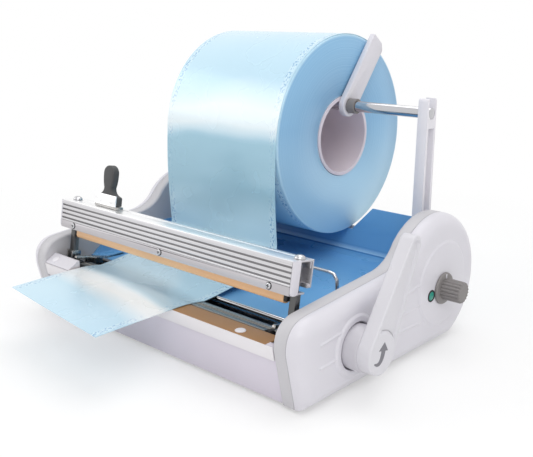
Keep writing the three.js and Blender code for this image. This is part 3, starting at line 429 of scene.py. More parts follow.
# Film and roll finishes
rollSizes = {"left": -129.0, "right": 47.0, "radius": 115.0, "bore": 46.3, "y": 112.0, "z": 205.3, "rim": 1.0,
             "edge": 0.4, "coreBore": 42.0, "core": 46.0, "coreProud": 1.0, "coreEdge": 0.3}
filmLook = {"fromEdge": 7.0, "markedHalf": 3.5, "markedSoft": 0.4}  # the marked bands along both edges
rollCentre = (rollSizes["y"], rollSizes["z"])


def markedEdge(material, place):  # 1 inside the marked band at this X, 0 outside
    look = filmLook
    offset = maths(material, "SUBTRACT", placeAxis(material, "X"), at(place, 0, 0).x)
    away = maths(material, "ABSOLUTE", offset)
    half, soft = look["markedHalf"] * mm, look["markedSoft"] * mm
    return spread(material, away, 1, 0, half - soft, half + soft)


def filmFinish(name, pale, deep, roughness, waves):
    material = nodeMaterial(name, roughness, 0.1, Coat_Weight=0.4, Coat_Roughness=0.2)
    body = ramp(material, noise(material, waves, 2, (1, 0.35, 0.35)), [(0.3, pale), (0.7, deep)])
    marks = spread(material, noise(material, 330, 2, (1.6, 1, 1)), 0.0, 0.7, 0.52, 0.58)
    for place in (rollSizes["left"] + filmLook["fromEdge"], rollSizes["right"] - filmLook["fromEdge"]):
        band = markedEdge(material, place)
        body = blended(material, product(material, band, 0.55), body, (0.70, 0.87, 0.95))
        body = blended(material, product(material, band, marks), body, (0.10, 0.33, 0.60))
    feed(material, body, "Base Color")
    feed(material, spread(material, noise(material, 14), roughness * 0.85, roughness * 1.2), "Roughness")
    bumped(material, noise(material, 7, 1), 0.03, 0.002)
    return material


# Bands of painted sheen and painted shade on the film, one deeper in part because the film lies on the roll:
# axis, where it starts, is full, stays full and ends, depth and colour
webPaintedLightBands = [
    # painted reflection on the flat film in front of the jaw
    ("Y", (-194, -168, -152, -137), 0.9, (0.94, 0.98, 1.0)),
    # painted shade on the flat film under the bar
    ("Y", (-146, -133, -112, -97), 0.7, (0.36, 0.50, 0.58)),
    # deeper blue down the hanging film: painted shade, and in part the film lying on the roll
    ("Z", (112, 145, 203, 214), 0.85, (0.34, 0.575, 0.70)),
    # painted sheen on the film over the top of the roll
    ("Z", (207, 222, 242, 268), 0.8, (0.88, 0.95, 0.97)),
]
bandLook = {"tilt": 0.154, "tiltFrom": -32.0, "flatBelow": (70.0, 80.0), "sway": 12.0}  # they waver by sway


def paintedLightOnFilm(material):
    look = bandLook
    body = colourOf(material)
    sway = spread(material, noise(material, 9, 2, (0.5, 1, 1)), -look["sway"] * mm, look["sway"] * mm)
    for axis, places, depth, colour in webPaintedLightBands:
        places = [at(0, place, place)["XYZ".index(axis)] for place in places]
        reading = maths(material, "ADD", placeAxis(material, axis), sway)
        if axis == "Y":  # on the part that lies flat the bands run a little across the machine
            reading = maths(material, "MULTIPLY_ADD", placeAxis(material, "X"), look["tilt"], reading)
            places = [place + look["tilt"] * at(look["tiltFrom"], 0, 0).x for place in places]
        band = within(material, reading, places, depth)
        if axis == "Y":
            heights = [height * mm for height in look["flatBelow"]]
            band = product(material, band, spread(material, placeAxis(material, "Z"), 1, 0, *heights))
        body = blended(material, band, body, colour)
    feed(material, body, "Base Color")
    return material


webFilm = paintedLightOnFilm(filmFinish("film web with painted sheen and shade", (0.56, 0.78, 0.90), (0.50, 0.72, 0.86), 0.26, 6))
rollFilm = filmFinish("film on the roll", (0.50, 0.74, 0.88), (0.44, 0.68, 0.85), 0.26, 6)

# Paler edges, in from the rim and out from the bore; paler low down as painted light where the roll lies in
# shade
woundLook = {"rim": (3.0, 0.2), "bore": (0.2, 2.2), "low": (100.0, 220.0)}


def woundEdgeFinish():
    r, look = rollSizes, woundLook
    material = nodeMaterial("wound film edges", 0.38, 0.0, Coat_Weight=0.15, Coat_Roughness=0.3)
    tree = material.node_tree
    flat = tree.nodes.new("ShaderNodeCombineXYZ")
    centre = at(0, *rollCentre)
    for axis, middle in (("Y", centre.y), ("Z", centre.z)):
        tree.links.new(maths(material, "SUBTRACT", placeAxis(material, axis), middle), flat.inputs[axis])
    radius = lengthOf(material, flat.outputs[0])
    layers = tree.nodes.new("ShaderNodeTexNoise")
    layers.noise_dimensions = "1D"
    layers.inputs["Scale"].default_value = 900
    layers.inputs["Detail"].default_value = 4
    tree.links.new(radius, layers.inputs["W"])
    lines = ramp(material, layers.outputs["Fac"], [(0.25, (0.22, 0.45, 0.69)), (0.75, (0.29, 0.53, 0.76))])
    rim = spread(material, radius, 0.0, 0.8, *((r["radius"] - inside) * mm for inside in look["rim"]))
    bore = spread(material, radius, 0.7, 0.0, *((r["bore"] + outside) * mm for outside in look["bore"]))
    # painted light: the edges are lightened low down, where the roll lies in shade
    low = spread(material, placeAxis(material, "Z"), 0.9, 0.0, *(height * mm for height in look["low"]))
    lines = blended(material, low, lines, (0.55, 0.82, 0.97))
    paleRimAndBore = maths(material, "ADD", rim, bore, clamp=True)
    feed(material, blended(material, paleRimAndBore, lines, (0.60, 0.80, 0.92)), "Base Color")
    bumped(material, layers.outputs["Fac"], 0.25, 0.0002)
    return material


woundEdges = woundEdgeFinish()

# CAD pieces that keep their own shape: softened edges and a fitting finish
finishOf = {
    "casing": casingPlastic, "inner_casing": innerPlastic, "tray": trayPaint, "aluminium": barAluminiumPaintedLight,
    "steel": platedSteel, "chrome": polishedChrome, "rubber": dullRubber, "strip": stripSilicone,
    "deck": deckBrown, "heater": heaterTape, "grip": gripPlastic, "knob": knobPlastic, "lamp": lampLens,
    "film": webFilm, "roll": rollFilm, "core": paperCore, "board": boardGreen, "winding": windingCopper,
}
edgeWidths = {"tray": 0.9, "aluminium": 0.35, "casing": 0.8, "inner_casing": 0.8, "steel": 0.3, "rubber": 0.5}
ownFinish = {
    "lower_jaw": jawAluminium, "jaw_support": jawAluminium, "clamp_rail": railAluminium,
    "leg_left": darkSteel, "leg_right": darkSteel, "front_beam": beamPlastic, "front_lip": lipPlastic,
    "upright_left": uprightPlastic, "upright_right": uprightPlastic,
}
softEdges = {"weld": 0.01, "flat": 0.8, "crease": 38.0, "otherWidth": 0.25}  # flat and crease in degrees


def softenEdges(piece, width):
    for polygon in piece.data.polygons:
        polygon.use_smooth = True
    weld = piece.modifiers.new("weld", "WELD")
    weld.merge_threshold = softEdges["weld"] * mm
    flatten = piece.modifiers.new("flat faces", "DECIMATE")
    flatten.decimate_type = "DISSOLVE"
    flatten.angle_limit = math.radians(softEdges["flat"])
    bevel = piece.modifiers.new("soft edges", "BEVEL")
    bevel.width = width * mm
    bevel.segments = 2
    bevel.limit_method = "ANGLE"
    bevel.angle_limit = math.radians(softEdges["crease"])
    bevel.use_clamp_overlap = True
    split = piece.modifiers.new("creases", "EDGE_SPLIT")
    split.split_angle = math.radians(softEdges["crease"])


for part in frame["record"]["subparts"]:
    piece = nodes[part["node"]]
    piece.data.materials.clear()
    piece.data.materials.append(ownFinish.get(part["node"], finishOf[part["material_slot"]]))
    softenEdges(piece, edgeWidths.get(part["material_slot"], softEdges["otherWidth"]))

print("CAD pieces finished")

# Side casings; the seam and the mouth of the hub's opening are levels told from the split and from the face
casingSizes = {
    "front": -152.5, "inner": 176.5, "outer": 206.0, "split": 191.25, "foot": 4.0, "wallLean": 15.0,
    "frontTop": 87.0, "corner": 26.0, "rise": 14.0, "lobeY": 79.5, "lobeZ": 71.0, "lobe": 73.0, "blend": 25.0,
    "landing": 42.0, "round": 14.0, "rim": 2.6, "planCorner": 17.0, "planSoft": 8.0, "proud": 1.5,
    "hubY": -71.0, "hubZ": 48.0, "spacing": 6.0, "faceEdge": 0.6,
    "seam": ((0.15, 0.5), (0.3, 0.2), (0.5, 0.0)),
    "mouth": ((0.0, -0.6), (0.0, 0.0), (-0.2, 0.2), (-9.0, 0.2)),
}


def casingPoints():
    c = casingSizes
    front, lobe = c["front"], Vector((c["lobeY"], c["lobeZ"]))
    sunk = c["lobeZ"] - c["lobe"]
    topEnd = Vector((c["lobeY"] - c["lobe"] * math.cos(math.radians(c["blend"])), c["frontTop"] + c["rise"]))
    slope = c["rise"] / (topEnd.x - front)
    blendStart = Vector((topEnd.x - c["corner"], c["frontTop"] + slope * (topEnd.x - c["corner"] - front)))
    landing = 180 - c["landing"]
    foot = math.degrees(math.asin((c["foot"] - c["lobeZ"]) / c["lobe"]))
    lean = c["wallLean"] * (c["frontTop"] - c["corner"] - c["foot"]) / (c["frontTop"] - c["corner"] - sunk)
    upper = Vector((front, c["frontTop"] - c["corner"]))
    corner = bend(upper, Vector((front, c["frontTop"])),
                  Vector((front + c["corner"], c["frontTop"] + slope * c["corner"])), 14)
    onLobe = lobe + direction(landing) * c["lobe"]
    points = [Vector((front + lean, c["foot"]))] + arc(lobe, c["lobe"], foot, landing, 64)
    points += bend(onLobe, topEnd, blendStart, 16)[1:] + corner[::-1]
    # no points beside the sharp foot corner, where a deep inset would cross itself
    sharp = points[0]
    return [p for p in strewn(points, c["spacing"]) if p == sharp or (p - sharp).length > c["round"]]


def rounded(y, x):  # the front outer corner is rounded in plan: the further out, the further back
    c = casingSizes
    t = min(1.0, max(0.0, (c["outer"] - x) / c["planCorner"])) ** 0.5
    depth = c["planCorner"] * (1 - t) ** 2
    soft = c["planSoft"] * depth / c["planCorner"]
    return (y + c["front"] + depth + math.hypot(y - c["front"] - depth, soft)) / 2


def casing(side, sign):
    c = casingSizes
    levels = edgeLevels(c["inner"], c["outer"], c["rim"], c["round"], 12)
    innerLevels = [level for level in levels if level[0] < c["split"]]
    innerLevels += [(c["split"] - away, inset) for away, inset in c["seam"][::-1]]
    outerLevels = levelsFrom(c["split"], c["seam"]) + [level for level in levels if level[0] > c["split"]]
    outerLevels.append((c["outer"], c["round"] + c["faceEdge"]))

    def put(y, z, x):
        return at(sign * x, rounded(y, x), z)

    opening = None
    if sign > 0:
        bore = circle((c["hubY"], c["hubZ"]), reliefSizes["bore"], 96)
        opening = (bore, levelsFrom(c["outer"], c["mouth"]))
    outer = slab(f"{side}_outer_shell", casingPoints(), outerLevels, put, 50, opening)
    inner = slab(f"{side}_inner_shell", casingPoints(), innerLevels, put, 50)
    finishPiece(outer, "base", casingPlastic, [f"{side}_outer_casing"])
    finishPiece(inner, "base", innerPlastic, [f"{side}_inner_casing"])
    raised(side, sign)


reliefSizes = {
    "rib": 4.6, "frontFrom": -124.5, "frontRows": [(62, 3), (40, 1)], "rearTo": 43.0, "bore": 23.2,
    "rearRows": [(66, 12), (52, 4), (38, -2)], "hub": 21.5, "collar": 31.5, "disc": 46.5, "slope": 3.4,
    "sunk": 0.05, "ribLower": 0.55, "ribTop": 0.25, "boreRim": ((0.0, -0.9), (-0.25, -0.3), (-0.8, 0.0)),
}


def softLevels(low, high, run, steps=8):  # a raised form that rises in a soft S
    levels = []
    for k in range(steps + 1):
        t = k / steps
        levels.append((low + (high - low) * t * t * (3 - 2 * t), run * t))
    return levels


def raised(side, sign):  # moulded discs, collar and ribs on the outside
    c, r = casingSizes, reliefSizes
    low, high = c["outer"] - r["sunk"], c["outer"] + c["proud"]

    def put(y, z, x):
        return at(sign * x, y, z)

    discPoints = circle((c["lobeY"], c["lobeZ"]), r["disc"], 120)
    disc = slab(f"{side}_relief_disc", discPoints, softLevels(low, high, r["slope"]), put, 60)
    finishPiece(disc, "base", casingPlastic)
    rows = [("front", r["frontFrom"], c["hubY"] - r["hub"], *row) for row in r["frontRows"]]
    rows += [("rear", c["hubY"] + r["hub"], r["rearTo"], *row) for row in r["rearRows"]]
    levels = softLevels(low, high - r["ribLower"], r["rib"] / 2 - r["ribTop"], 6)
    for i, (end, start, stop, z, rise) in enumerate(rows):
        rib = slab(f"{side}_{end}_rib_{i}", ribOutline(start, stop, z, rise, r["rib"]), levels, put, 60)
        finishPiece(rib, "base", casingPlastic)
    profile = profileFrom(r["collar"], softLevels(low, high, r["slope"]))
    if sign > 0:
        profile = [[r["bore"], low]] + profile + profileFrom(r["bore"], levelsFrom(high, r["boreRim"]))
    else:
        profile = [[0, low]] + profile + [[0, high]]
    profile = [[radius, sign * x] for radius, x in profile]
    collar = lathe(f"{side}_hub_collar", profile, (c["hubY"], c["hubZ"]), 96, closed=sign > 0, smoothAngle=60)
    finishPiece(collar, "base", casingPlastic)


def ribOutline(start, stop, z, rise, width):
    half = width / 2
    lean = math.degrees(math.atan2(rise, stop - start))
    near, far = Vector((start + half, z + half)), Vector((stop - half, z + rise + half))
    return arc(near, half, lean + 90, lean + 270, 12) + arc(far, half, lean - 90, lean + 90, 12)


casing("right", 1)
casing("left", -1)
print("casings made")

# Lever with its hub and the printed arrow
leverSizes = {
    "y": -71.0, "z": 48.0, "face": 220.5, "thick": 15.0, "boss": 20.0, "tip": 8.5, "reach": 104.0,
    "lean": 27.5, "hub": 21.5, "hubFrom": 197.0, "hubTop": ((-0.6, 0.0), (0.6, 0.8), (1.5, 2.4)),
    "backRound": 2.0, "round": 1.9, "topEdge": 0.3, "rim": 4.2, "sunk": 2.2, "bossEdge": 20.5, "spacing": 5.0,
    "channelTop": ((0.0, -1.1), (0.0, -0.8), (-0.15, -0.45), (-0.5, 0.0)),
    "channelFloor": ((0.5, 0.6), (0.15, 1.0), (0.0, 1.5), (0.0, 1.9)),
}


def leverTip():  # its centre, the direction of the arm and half the angle that the round of the tip takes up
    v = leverSizes
    axis = 90 - v["lean"]
    half = math.degrees(math.acos((v["boss"] - v["tip"]) / v["reach"]))
    return Vector((v["y"], v["z"])) + direction(axis) * v["reach"], axis, half


def leverPoints():
    v = leverSizes
    tip, axis, half = leverTip()
    points = arc((v["y"], v["z"]), v["boss"], axis + half, axis + 360 - half, 48)
    return strewn(points + arc(tip, v["tip"], axis - half, axis + half, 24), v["spacing"])


def channelPoints():  # the shallow channel along the arm, from the boss to the tip
    v = leverSizes
    tip, axis, half = leverTip()
    start = v["bossEdge"]
    halfWidth = v["boss"] - (v["boss"] - v["tip"]) * start / v["reach"] - v["rim"]
    halfStart = math.degrees(math.asin(halfWidth / start))
    points = arc(tip, v["tip"] - v["rim"], axis - half, axis + half, 16)
    return points + arc((v["y"], v["z"]), start, axis + halfStart, axis - halfStart, 16)


def makeLever():
    v = leverSizes
    high = v["face"] + v["thick"]
    levels = edgeLevels(v["face"], high, v["backRound"], v["round"], 7) + [(high, v["round"] + v["topEdge"])]
    channel = levelsFrom(high, v["channelTop"]) + levelsFrom(high - v["sunk"], v["channelFloor"])
    arm = slab("lever_arm", leverPoints(), levels, alongX, 60, (channelPoints(), channel))
    profile = [[v["hub"], v["hubFrom"]]] + profileFrom(v["hub"], levelsFrom(v["face"], v["hubTop"]))
    profile = [[0, v["hubFrom"]]] + profile + [[0, profile[-1][1]]]
    hub = lathe("lever_hub", profile, (v["y"], v["z"]), 96)
    finishPiece(arm, "lever", leverPlastic, ["lever"])
    finishPiece(hub, "lever", hubPlasticPaintedShade)
    arrow(high)


arrowSizes = {
    "y": 1.2, "z": 3.4, "head": 7.4, "length": 8.2, "turn": 12, "width": 3.3, "taper": 0.9, "sharpen": 1.7,
    "curve": ((-2.0, -9.4), (-6.5, -13.5), (-13.4, -8.8)), "steps": 24, "proud": 0.1,
}


def arrow(face):  # a grey arrow that curls up and shows which way the lever goes
    a, v = arrowSizes, leverSizes
    foot = Vector((v["y"] + a["y"], v["z"] + a["z"]))
    axis = direction(90 - a["turn"])
    side = Vector((axis.y, -axis.x))
    b1, b2, b3 = (Vector(step) for step in a["curve"])
    right, left = [], []
    for k in range(a["steps"] + 1):  # from the tail to the head
        t = 1 - k / a["steps"]
        here = foot + b1 * 3 * t * (1 - t) ** 2 + b2 * 3 * t * t * (1 - t) + b3 * t ** 3
        along = b1 * 3 * (1 - t) ** 2 + (b2 - b1) * 6 * t * (1 - t) + (b3 - b2) * 3 * t * t
        width = a["width"] - a["taper"] * t - a["sharpen"] * t * t
        across = Vector((along.y, -along.x)).normalized() * width
        right.append(here - across)
        left.append(here + across)
    head = [foot + side * a["head"], foot + axis * a["length"], foot - side * a["head"]]
    points = right + head + left[::-1]
    bm = bmesh.new()
    last, count = a["steps"], len(points)
    for height in (face - a["proud"], face + a["proud"]):
        ring = [bm.verts.new(at(height, p.x, p.y)) for p in points]
        parts = [(k, k + 1, count - 2 - k, count - 1 - k) for k in range(last)]
        parts += [(last, last + 1, last + 2), (last, last + 2, last + 4), (last + 4, last + 2, last + 3)]
        for part in parts:
            bm.faces.new([ring[i] for i in part])
    bm.verts.ensure_lookup_table()
    walls(bm, [bm.verts[:count], bm.verts[count:]])
    finishPiece(newPiece("lever_arrow", bm, 30), "lever", arrowInk)


makeLever()

# Timer knob and lamp; the pointer is given by half its width and how far out it starts and ends
knobSizes = {
    "y": 79.5, "z": 66.0, "from": 207.8, "flange": 17.0, "flangeThick": 3.0, "grip": 11.5, "length": 24.0,
    "flutes": 18, "stepsPerFlute": 8, "depth": 1.1, "sharpness": 0.7, "gripSunk": 0.4,
    "flangeFoot": ((0.0, 0.3), (0.4, 0.0)), "flangeTop": ((-1.4, 0.1), (-0.4, 0.8), (0.0, 2.0)),
    "gripTop": ((-1.6, 0.25), (-0.6, 0.6), (0.0, 1.5)), "pointer": (1.0, 10.0, 15.5),
    "pointerTop": ((-0.3, 0.0), (0.35, 0.0), (0.5, 0.2)),
}
lampSizes = {
    "y": 56.5, "z": 63.0,
    "bezel": ((5.1, 206.6), (6.4, 206.6), (6.4, 207.9), (6.1, 208.3), (5.5, 208.5), (5.1, 208.3)),
}


def knobPoints():
    k = knobSizes
    points = []
    count = k["flutes"] * k["stepsPerFlute"]
    for i in range(count):
        a = 2 * math.pi * i / count
        wave = abs(math.sin(k["flutes"] * a / 2)) ** k["sharpness"]
        radius = k["grip"] - k["depth"] * (1 - wave)
        points.append(Vector((k["y"] + radius * math.cos(a), k["z"] + radius * math.sin(a))))
    return points


def makeKnob():
    k = knobSizes
    top = k["from"] + k["flangeThick"]
    rims = levelsFrom(k["from"], k["flangeFoot"]) + levelsFrom(top, k["flangeTop"])
    profile = [[0, k["from"]]] + profileFrom(k["flange"], rims) + [[0, top]]
    flange = lathe("knob_flange", profile, (k["y"], k["z"]), 72)
    levels = [(top - k["gripSunk"], 0.0)] + levelsFrom(k["from"] + k["length"], k["gripTop"])
    grip = slab("knob_grip", knobPoints(), levels, alongX, 32)
    half, near, far = k["pointer"]
    corners = [(-half, near), (half, near), (half, far), (-half, far)]
    corners = [Vector((k["y"] + y, k["z"] + z)) for y, z in corners]
    pointer = slab("knob_pointer", corners, levelsFrom(top, k["pointerTop"]), alongX)
    finishPiece(flange, "timer_knob", knobPlastic, ["timer_knob"])
    finishPiece(grip, "timer_knob", knobPlastic)
    finishPiece(pointer, "timer_knob", casingPlastic)


def makeLamp():
    k = lampSizes
    bezel = lathe("lamp_bezel", k["bezel"], (k["y"], k["z"]), 48, closed=True)
    finishPiece(bezel, "base", shadowLine)


makeKnob()
makeLamp()
print("lever, knob and lamp made")

# Roll of film and its paper core


def ringProfile(inner, outer, low, high, innerEdge, outerEdge):  # a ring's section with its four edges cut
    return [[inner + innerEdge, low], [outer - outerEdge, low], [outer, low + outerEdge],
            [outer, high - outerEdge], [outer - outerEdge, high], [inner + innerEdge, high],
            [inner, high - innerEdge], [inner, low + innerEdge]]


def makeRoll():
    r = rollSizes
    profile = ringProfile(r["bore"], r["radius"], r["left"], r["right"], r["edge"], r["rim"])
    roll = lathe("film_roll_wound", profile, rollCentre, 160, closed=True, smoothAngle=50)
    finishPiece(roll, "reel", rollFilm, ["film_roll"])
    roll.data.materials.append(woundEdges)
    for polygon in roll.data.polygons:
        polygon.material_index = 1 if abs(polygon.normal.x) > 0.8 else 0
    low, high = r["left"] - r["coreProud"], r["right"] + r["coreProud"]
    profile = ringProfile(r["coreBore"], r["core"], low, high, r["coreEdge"], r["coreEdge"])
    core = lathe("paper_core", profile, rollCentre, 128, closed=True)
    finishPiece(core, "reel", paperCore, ["reel_core"])


makeRoll()

# Film web; places on its path are Y and Z, and slack and curl are what its two curves are drawn towards
webSizes = {
    "thick": 0.6, "left": -128.0, "right": 46.0, "columns": 60, "wrapFrom": 62, "slack": (-3.0, 160.0),
    "hang": (-0.5, 98.0), "curl": (1.0, 75.5), "turned": (-32.0, 70.6), "rod": (-91.5, 62.8),
    "jaw": (-109.4, 61.05), "over": ((-124.4, 63.3), (-135.2, 64.0), (-145.5, 64.2), (-152.5, 64.15)),
    "tip": (-242.3, 62.3), "swell": 0.5, "free": 90.0, "ripple": 0.25, "rippleX": 31.0, "rippleY": 40.0,
    "shortLeft": 20.0,
}


def webCentres():  # over the roll, slack behind the bar, forward under the wire, over rod and jaw and out
    w = webSizes
    points = arc(rollCentre, rollSizes["radius"] + w["thick"], w["wrapFrom"], 180, 40)
    hang, turned, rod, jaw, tip = (Vector(w[place]) for place in ("hang", "turned", "rod", "jaw", "tip"))
    points += bend(points[-1], Vector((points[-1].x + w["slack"][0], w["slack"][1])), hang, 12)[1:]
    points += bend(hang, Vector(w["curl"]), turned, 16)[1:]
    points += [points[-1].lerp(rod, k / 5) for k in range(1, 5)] + [rod, rod.lerp(jaw, 0.5), jaw]
    points += [Vector(place) for place in w["over"]]
    return points + bend(points[-1], points[-1].lerp(tip, 0.5) + Vector((0, w["swell"])), tip, 14)[1:]


def webRow(here, across):  # one line of points over the width; the free end ripples and is cut at a slant
    w = webSizes
    out = max(0.0, (w["over"][-1][0] - here.x) / w["free"])
    row = []
    for k in range(w["columns"] + 1):
        x = w["left"] + (w["right"] - w["left"]) * k / w["columns"]
        ripple = out * w["ripple"] * math.sin(x / w["rippleX"] + here.x / w["rippleY"])
        back = out * w["shortLeft"] * (1 - k / w["columns"])
        row.append(at(x, here.x + across.x + back, here.y + across.y + ripple))
    return row


def makeWeb():
    w = webSizes
    centres = webCentres()
    columns = w["columns"]
    bm = bmesh.new()
    sides = []
    for offset in (-w["thick"] / 2, w["thick"] / 2):
        rows = []
        for i, here in enumerate(centres):
            along = (centres[min(len(centres) - 1, i + 1)] - centres[max(0, i - 1)]).normalized()
            across = Vector((-along.y, along.x)) * offset
            rows.append([bm.verts.new(place) for place in webRow(here, across)])
        sides.append(rows)
    for rows in sides:
        for a, b in zip(rows, rows[1:]):
            for k in range(columns):
                bm.faces.new((a[k], a[k + 1], b[k + 1], b[k]))
    low, high = sides
    for k in range(columns):
        bm.faces.new((low[0][k], low[0][k + 1], high[0][k + 1], high[0][k]))
        bm.faces.new((low[-1][k], low[-1][k + 1], high[-1][k + 1], high[-1][k]))
    for i in range(len(centres) - 1):
        for k in (0, columns):
            bm.faces.new((low[i][k], low[i + 1][k], high[i + 1][k], high[i][k]))
    web = newPiece("film_web_sheet", bm, 60)
    finishPiece(web, "base", webFilm, ["film_web"])


makeWeb()
print("film and reel made")

# Cutter handle; shoulder and waist bound the curve between its foot and its neck
cutterSizes = {
    "x": -112.0, "depth": 1.5, "foot": 44.5, "base": 18.0, "neck": 6.2, "grip": 8.8, "height": 47.0,
    "thick": 9.0, "skirt": 16.0, "plate": 12.0, "shoe": 3.3, "overShoe": 0.2, "shoulder": (-1.2, 1.6),
    "waist": (0.6, 3.0), "gripRun": 2.1, "round": 1.6, "least": 0.05,
}


def handlePoints():
    k = cutterSizes
    right = [Vector((k["base"], k["shoe"] + k["overShoe"])), Vector((k["base"], k["plate"]))]
    shoulder = right[-1] + Vector(k["shoulder"])
    waist = Vector((k["neck"], k["plate"])) + Vector(k["waist"])
    right += bend(shoulder, waist, Vector((k["neck"], k["skirt"] + k["neck"])), 10)
    gripFoot = k["height"] - k["gripRun"] * k["grip"]
    gripSide = Vector((k["grip"], k["height"] - k["grip"]))
    right += bend(right[-1], Vector((k["grip"], gripFoot)), gripSide, 12)[1:]
    top = arc((0, k["height"] - k["grip"]), k["grip"], 0, 180, 20)[1:]
    left = [Vector((-p.x, p.y)) for p in right[::-1]]
    points = right + top + left[1:]
    return [p for i, p in enumerate(points) if (p - points[i - 1]).length > k["least"]]


def makeHandle():
    k = cutterSizes

    def put(x, z, depth):
        return leaning(k["x"] + x, k["depth"] + depth, k["foot"] + z)

    levels = edgeLevels(-k["thick"] / 2, k["thick"] / 2, k["round"], k["round"], 5)
    handle = slab("cutter_grip", handlePoints(), levels, put, 45)
    finishPiece(handle, "cutter", gripPlastic, ["cutter_handle"])


makeHandle()
print("cutter made")

# Deck sheet, end cap and the screws in the clamp rail
deckSizes = {
    "left": -130.0, "right": 167.0, "front": -151.7, "back": -129.6, "frontTop": 63.4, "backTop": 62.9,
    "thick": 0.35, "backThick": 3.2, "plugX": 130.0, "plugY": -144.0, "plug": 5.2,
    "plugTop": ((0.3, 0.0), (0.7, 0.4), (0.8, 1.2)),
}
capSizes = {
    "left": -176.0, "right": -130.5, "foot": 63.4, "front": -151.6, "lip": 0.6, "crest": -138.5,
    "back": -136.0, "top": 71.8, "edge": (0.8, 0.6), "plugX": -164.0, "plug": 4.4,
    "plugTop": ((-0.4, 0.0), (0.4, 0.0), (0.7, 0.3), (0.8, 1.0)),
}
screwSizes = {
    "seat": ((-0.2, 0.0), (0.12, 0.0), (0.2, 0.1)), "seatPast": 0.7, "arm": 1.7, "half": 0.4,
    "head": ((0.0, 0.0), (0.9, 0.0), (1.3, 0.4), (1.5, 1.1)), "cross": ((1.2, 0.0), (1.56, 0.0)),
}


def prismAlongX(name, corners, left, right, edge=0.3):
    levels = [(left, edge), (left + edge, 0), (right - edge, 0), (right, edge)]
    return slab(name, [Vector(corner) for corner in corners], levels, alongX, 30)


def makeDeck():
    d = deckSizes
    corners = [(d["front"], d["frontTop"] - d["thick"]), (d["back"], d["backTop"] - d["backThick"]),
               (d["back"], d["backTop"]), (d["front"], d["frontTop"])]
    sheet = prismAlongX("deck_sheet", corners, d["left"], d["right"])
    finishPiece(sheet, "base", deckBrown, ["deck_plate"])
    levels = [(d["backTop"], 0)] + levelsFrom(d["frontTop"], d["plugTop"])
    plug = slab("deck_plug", circle((d["plugX"], d["plugY"]), d["plug"], 40), levels, at)
    finishPiece(plug, "base", uprightPlastic)


def makeEndCap():
    k = capSizes
    edgeIn, edgeDown = k["edge"]
    lip, crest = Vector((k["front"], k["foot"] + k["lip"])), Vector((k["crest"], k["top"]))
    corners = [(k["front"], k["foot"]), (k["back"], k["foot"]), (k["back"], k["top"] - edgeDown),
               (k["back"] - edgeIn, k["top"]), crest, lip]
    wedge = prismAlongX("end_cap_wedge", corners, k["left"], k["right"])
    finishPiece(wedge, "base", casingPlastic, ["deck_end_cap"])
    slope = (crest - lip).normalized()
    middle = (crest + lip) / 2

    def put(x, along, out):
        point = middle + slope * along + Vector((-slope.y, slope.x)) * out
        return at(x, point.x, point.y)

    plug = slab("end_cap_plug", circle((k["plugX"], 0), k["plug"], 40), k["plugTop"], put)
    finishPiece(plug, "base", uprightPlastic)


# each screw head gets a dark ring of painted shadow round it and a dark cross of painted shade for its recess
def makeScrews():
    b, k = barSizes, screwSizes
    quarter = [Vector((k["half"], k["half"])), Vector((k["half"], k["arm"])), Vector((-k["half"], k["arm"]))]
    turns = [Matrix.Rotation(math.radians(90 * i), 2) for i in range(4)]

    def put(x, rise, out):
        return leaning(x, b["front"] - out, rise)

    for i, x in enumerate((-b["screw"], 0, b["screw"])):
        middle = Vector((x, b["foot"] + b["rail"] / 2))
        seat = slab(f"screw_seat_{i}", circle(middle, b["head"] + k["seatPast"], 40), k["seat"], put)
        head = slab(f"screw_head_{i}", circle(middle, b["head"], 40), k["head"], put)
        cross = [middle + turn @ corner for turn in turns for corner in quarter]
        crossShade = slab(f"screw_cross_{i}", cross, k["cross"], put, 20)
        finishPiece(seat, "press_bar", shadowLine)
        finishPiece(head, "press_bar", polishedChrome)
        finishPiece(crossShade, "press_bar", shadowLine)


makeDeck()
makeEndCap()
makeScrews()
print("deck, end cap and screws made")

# Camera at the photograph's angle; its focal length and width are in picture points
cameraSizes = {"azimuth": 42.29, "elevation": 15.04, "roll": 0.40, "focal": 786.9, "width": 533, "sensor": 36,
               "place": (594.7, -620.7, 338.1), "near": 0.05, "far": 50}


def makeCamera():
    k = cameraSizes
    a, e, r = (math.radians(k[part]) for part in ("azimuth", "elevation", "roll"))
    back = Vector((math.sin(a) * math.cos(e), -math.cos(a) * math.cos(e), math.sin(e)))
    right = Vector((math.cos(a), math.sin(a), 0))
    up = back.cross(right)
    x = right * math.cos(r) + up * math.sin(r)
    y = up * math.cos(r) - right * math.sin(r)
    data = bpy.data.cameras.new("camera")
    data.sensor_width = k["sensor"]
    data.lens = k["focal"] / k["width"] * k["sensor"]
    data.clip_start = k["near"]
    data.clip_end = k["far"]
    camera = bpy.data.objects.new("camera", data)
    turn = Matrix((x, y, back)).transposed().to_4x4()
    camera.matrix_world = Matrix.Translation(at(*k["place"])) @ turn
    scene.collection.objects.link(camera)
    scene.camera = camera


makeCamera()

# Floor, background and lights, in metres; the floor's glow fades in between two distances from the middle
stageLook = {"skyLight": 0.62, "skySeen": 1.0, "floorHalf": 6.0, "floorHeight": -0.0002, "leastGlow": 0.4,
             "glowFades": (0.35, 0.85)}
lights = [  # name, place, height aimed at, size and watts
    ("key", (1.4, -1.3, 1.9), 0.12, (1.6, 1.2), 18),
    ("fill", (-1.9, -1.2, 1.2), 0.12, (1.8, 1.4), 9),
    ("top", (0.1, 0.5, 2.3), 0.1, (2.0, 1.6), 16),
]


def seenDirectly(owner):  # 1 for the camera, mirrors and glass
    path = owner.node_tree.nodes.new("ShaderNodeLightPath")
    total = path.outputs["Is Camera Ray"]
    for ray in ("Is Glossy Ray", "Is Transmission Ray"):
        total = maths(owner, "ADD", total, path.outputs[ray], clamp=True)
    return total


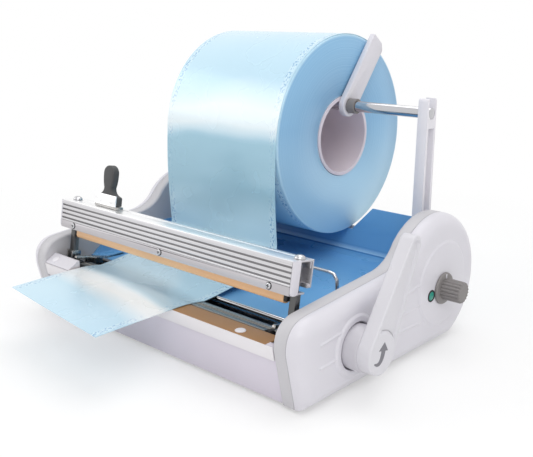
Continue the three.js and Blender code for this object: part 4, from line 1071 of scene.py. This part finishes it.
def mixedSurface(owner, outputName, share, first, second):
    tree = owner.node_tree
    mix = tree.nodes.new("ShaderNodeMixShader")
    for output, socket in zip((share, first.outputs[0], second.outputs[0]), mix.inputs):
        tree.links.new(output, socket)
    tree.links.new(mix.outputs[0], tree.nodes[outputName].inputs["Surface"])


def makeWorld():
    world = bpy.data.worlds.new("studio")
    world.use_nodes = True
    scene.world = world
    light = world.node_tree.nodes["Background"]
    seen = world.node_tree.nodes.new("ShaderNodeBackground")
    for background, strength in ((light, stageLook["skyLight"]), (seen, stageLook["skySeen"])):
        background.inputs["Color"].default_value = (1, 1, 1, 1)
        background.inputs["Strength"].default_value = strength
    mixedSurface(world, "World Output", seenDirectly(world), light, seen)


def makeFloor():
    half = stageLook["floorHalf"]
    bm = bmesh.new()
    corners = [(-half, -half), (half, -half), (half, half), (-half, half)]
    bm.faces.new([bm.verts.new(Vector((x, y, stageLook["floorHeight"]))) for x, y in corners])
    floor = newPiece("floor", bm)
    material = nodeMaterial("pale floor", 0.9, Specular_IOR_Level=0.1)
    shades = [(0.3, (0.93, 0.93, 0.93)), (0.7, (0.97, 0.97, 0.97))]
    feed(material, ramp(material, noise(material, 3), shades), "Base Color")
    glow = material.node_tree.nodes.new("ShaderNodeEmission")
    glow.inputs["Strength"].default_value = 1.0
    away = lengthOf(material, mapped(material, (1, 1, 0)))
    fade = spread(material, away, stageLook["leastGlow"], 1.0, *stageLook["glowFades"])
    share = maths(material, "MULTIPLY", seenDirectly(material), fade)
    mixedSurface(material, "Material Output", share, material.node_tree.nodes["Principled BSDF"], glow)
    floor.data.materials.append(material)


def softBox(name, place, aimHeight, size, watts):
    data = bpy.data.lights.new(name, "AREA")
    data.shape = "RECTANGLE"
    data.size, data.size_y = size
    data.energy = watts
    lamp = bpy.data.objects.new(name, data)
    lamp.location = place
    lamp.rotation_euler = (Vector((0, 0, aimHeight)) - Vector(place)).to_track_quat("-Z", "Y").to_euler()
    scene.collection.objects.link(lamp)


makeWorld()
makeFloor()
for light in lights:
    softBox(*light)
scene.view_settings.view_transform = "Standard"
print("camera, floor and lights ready")
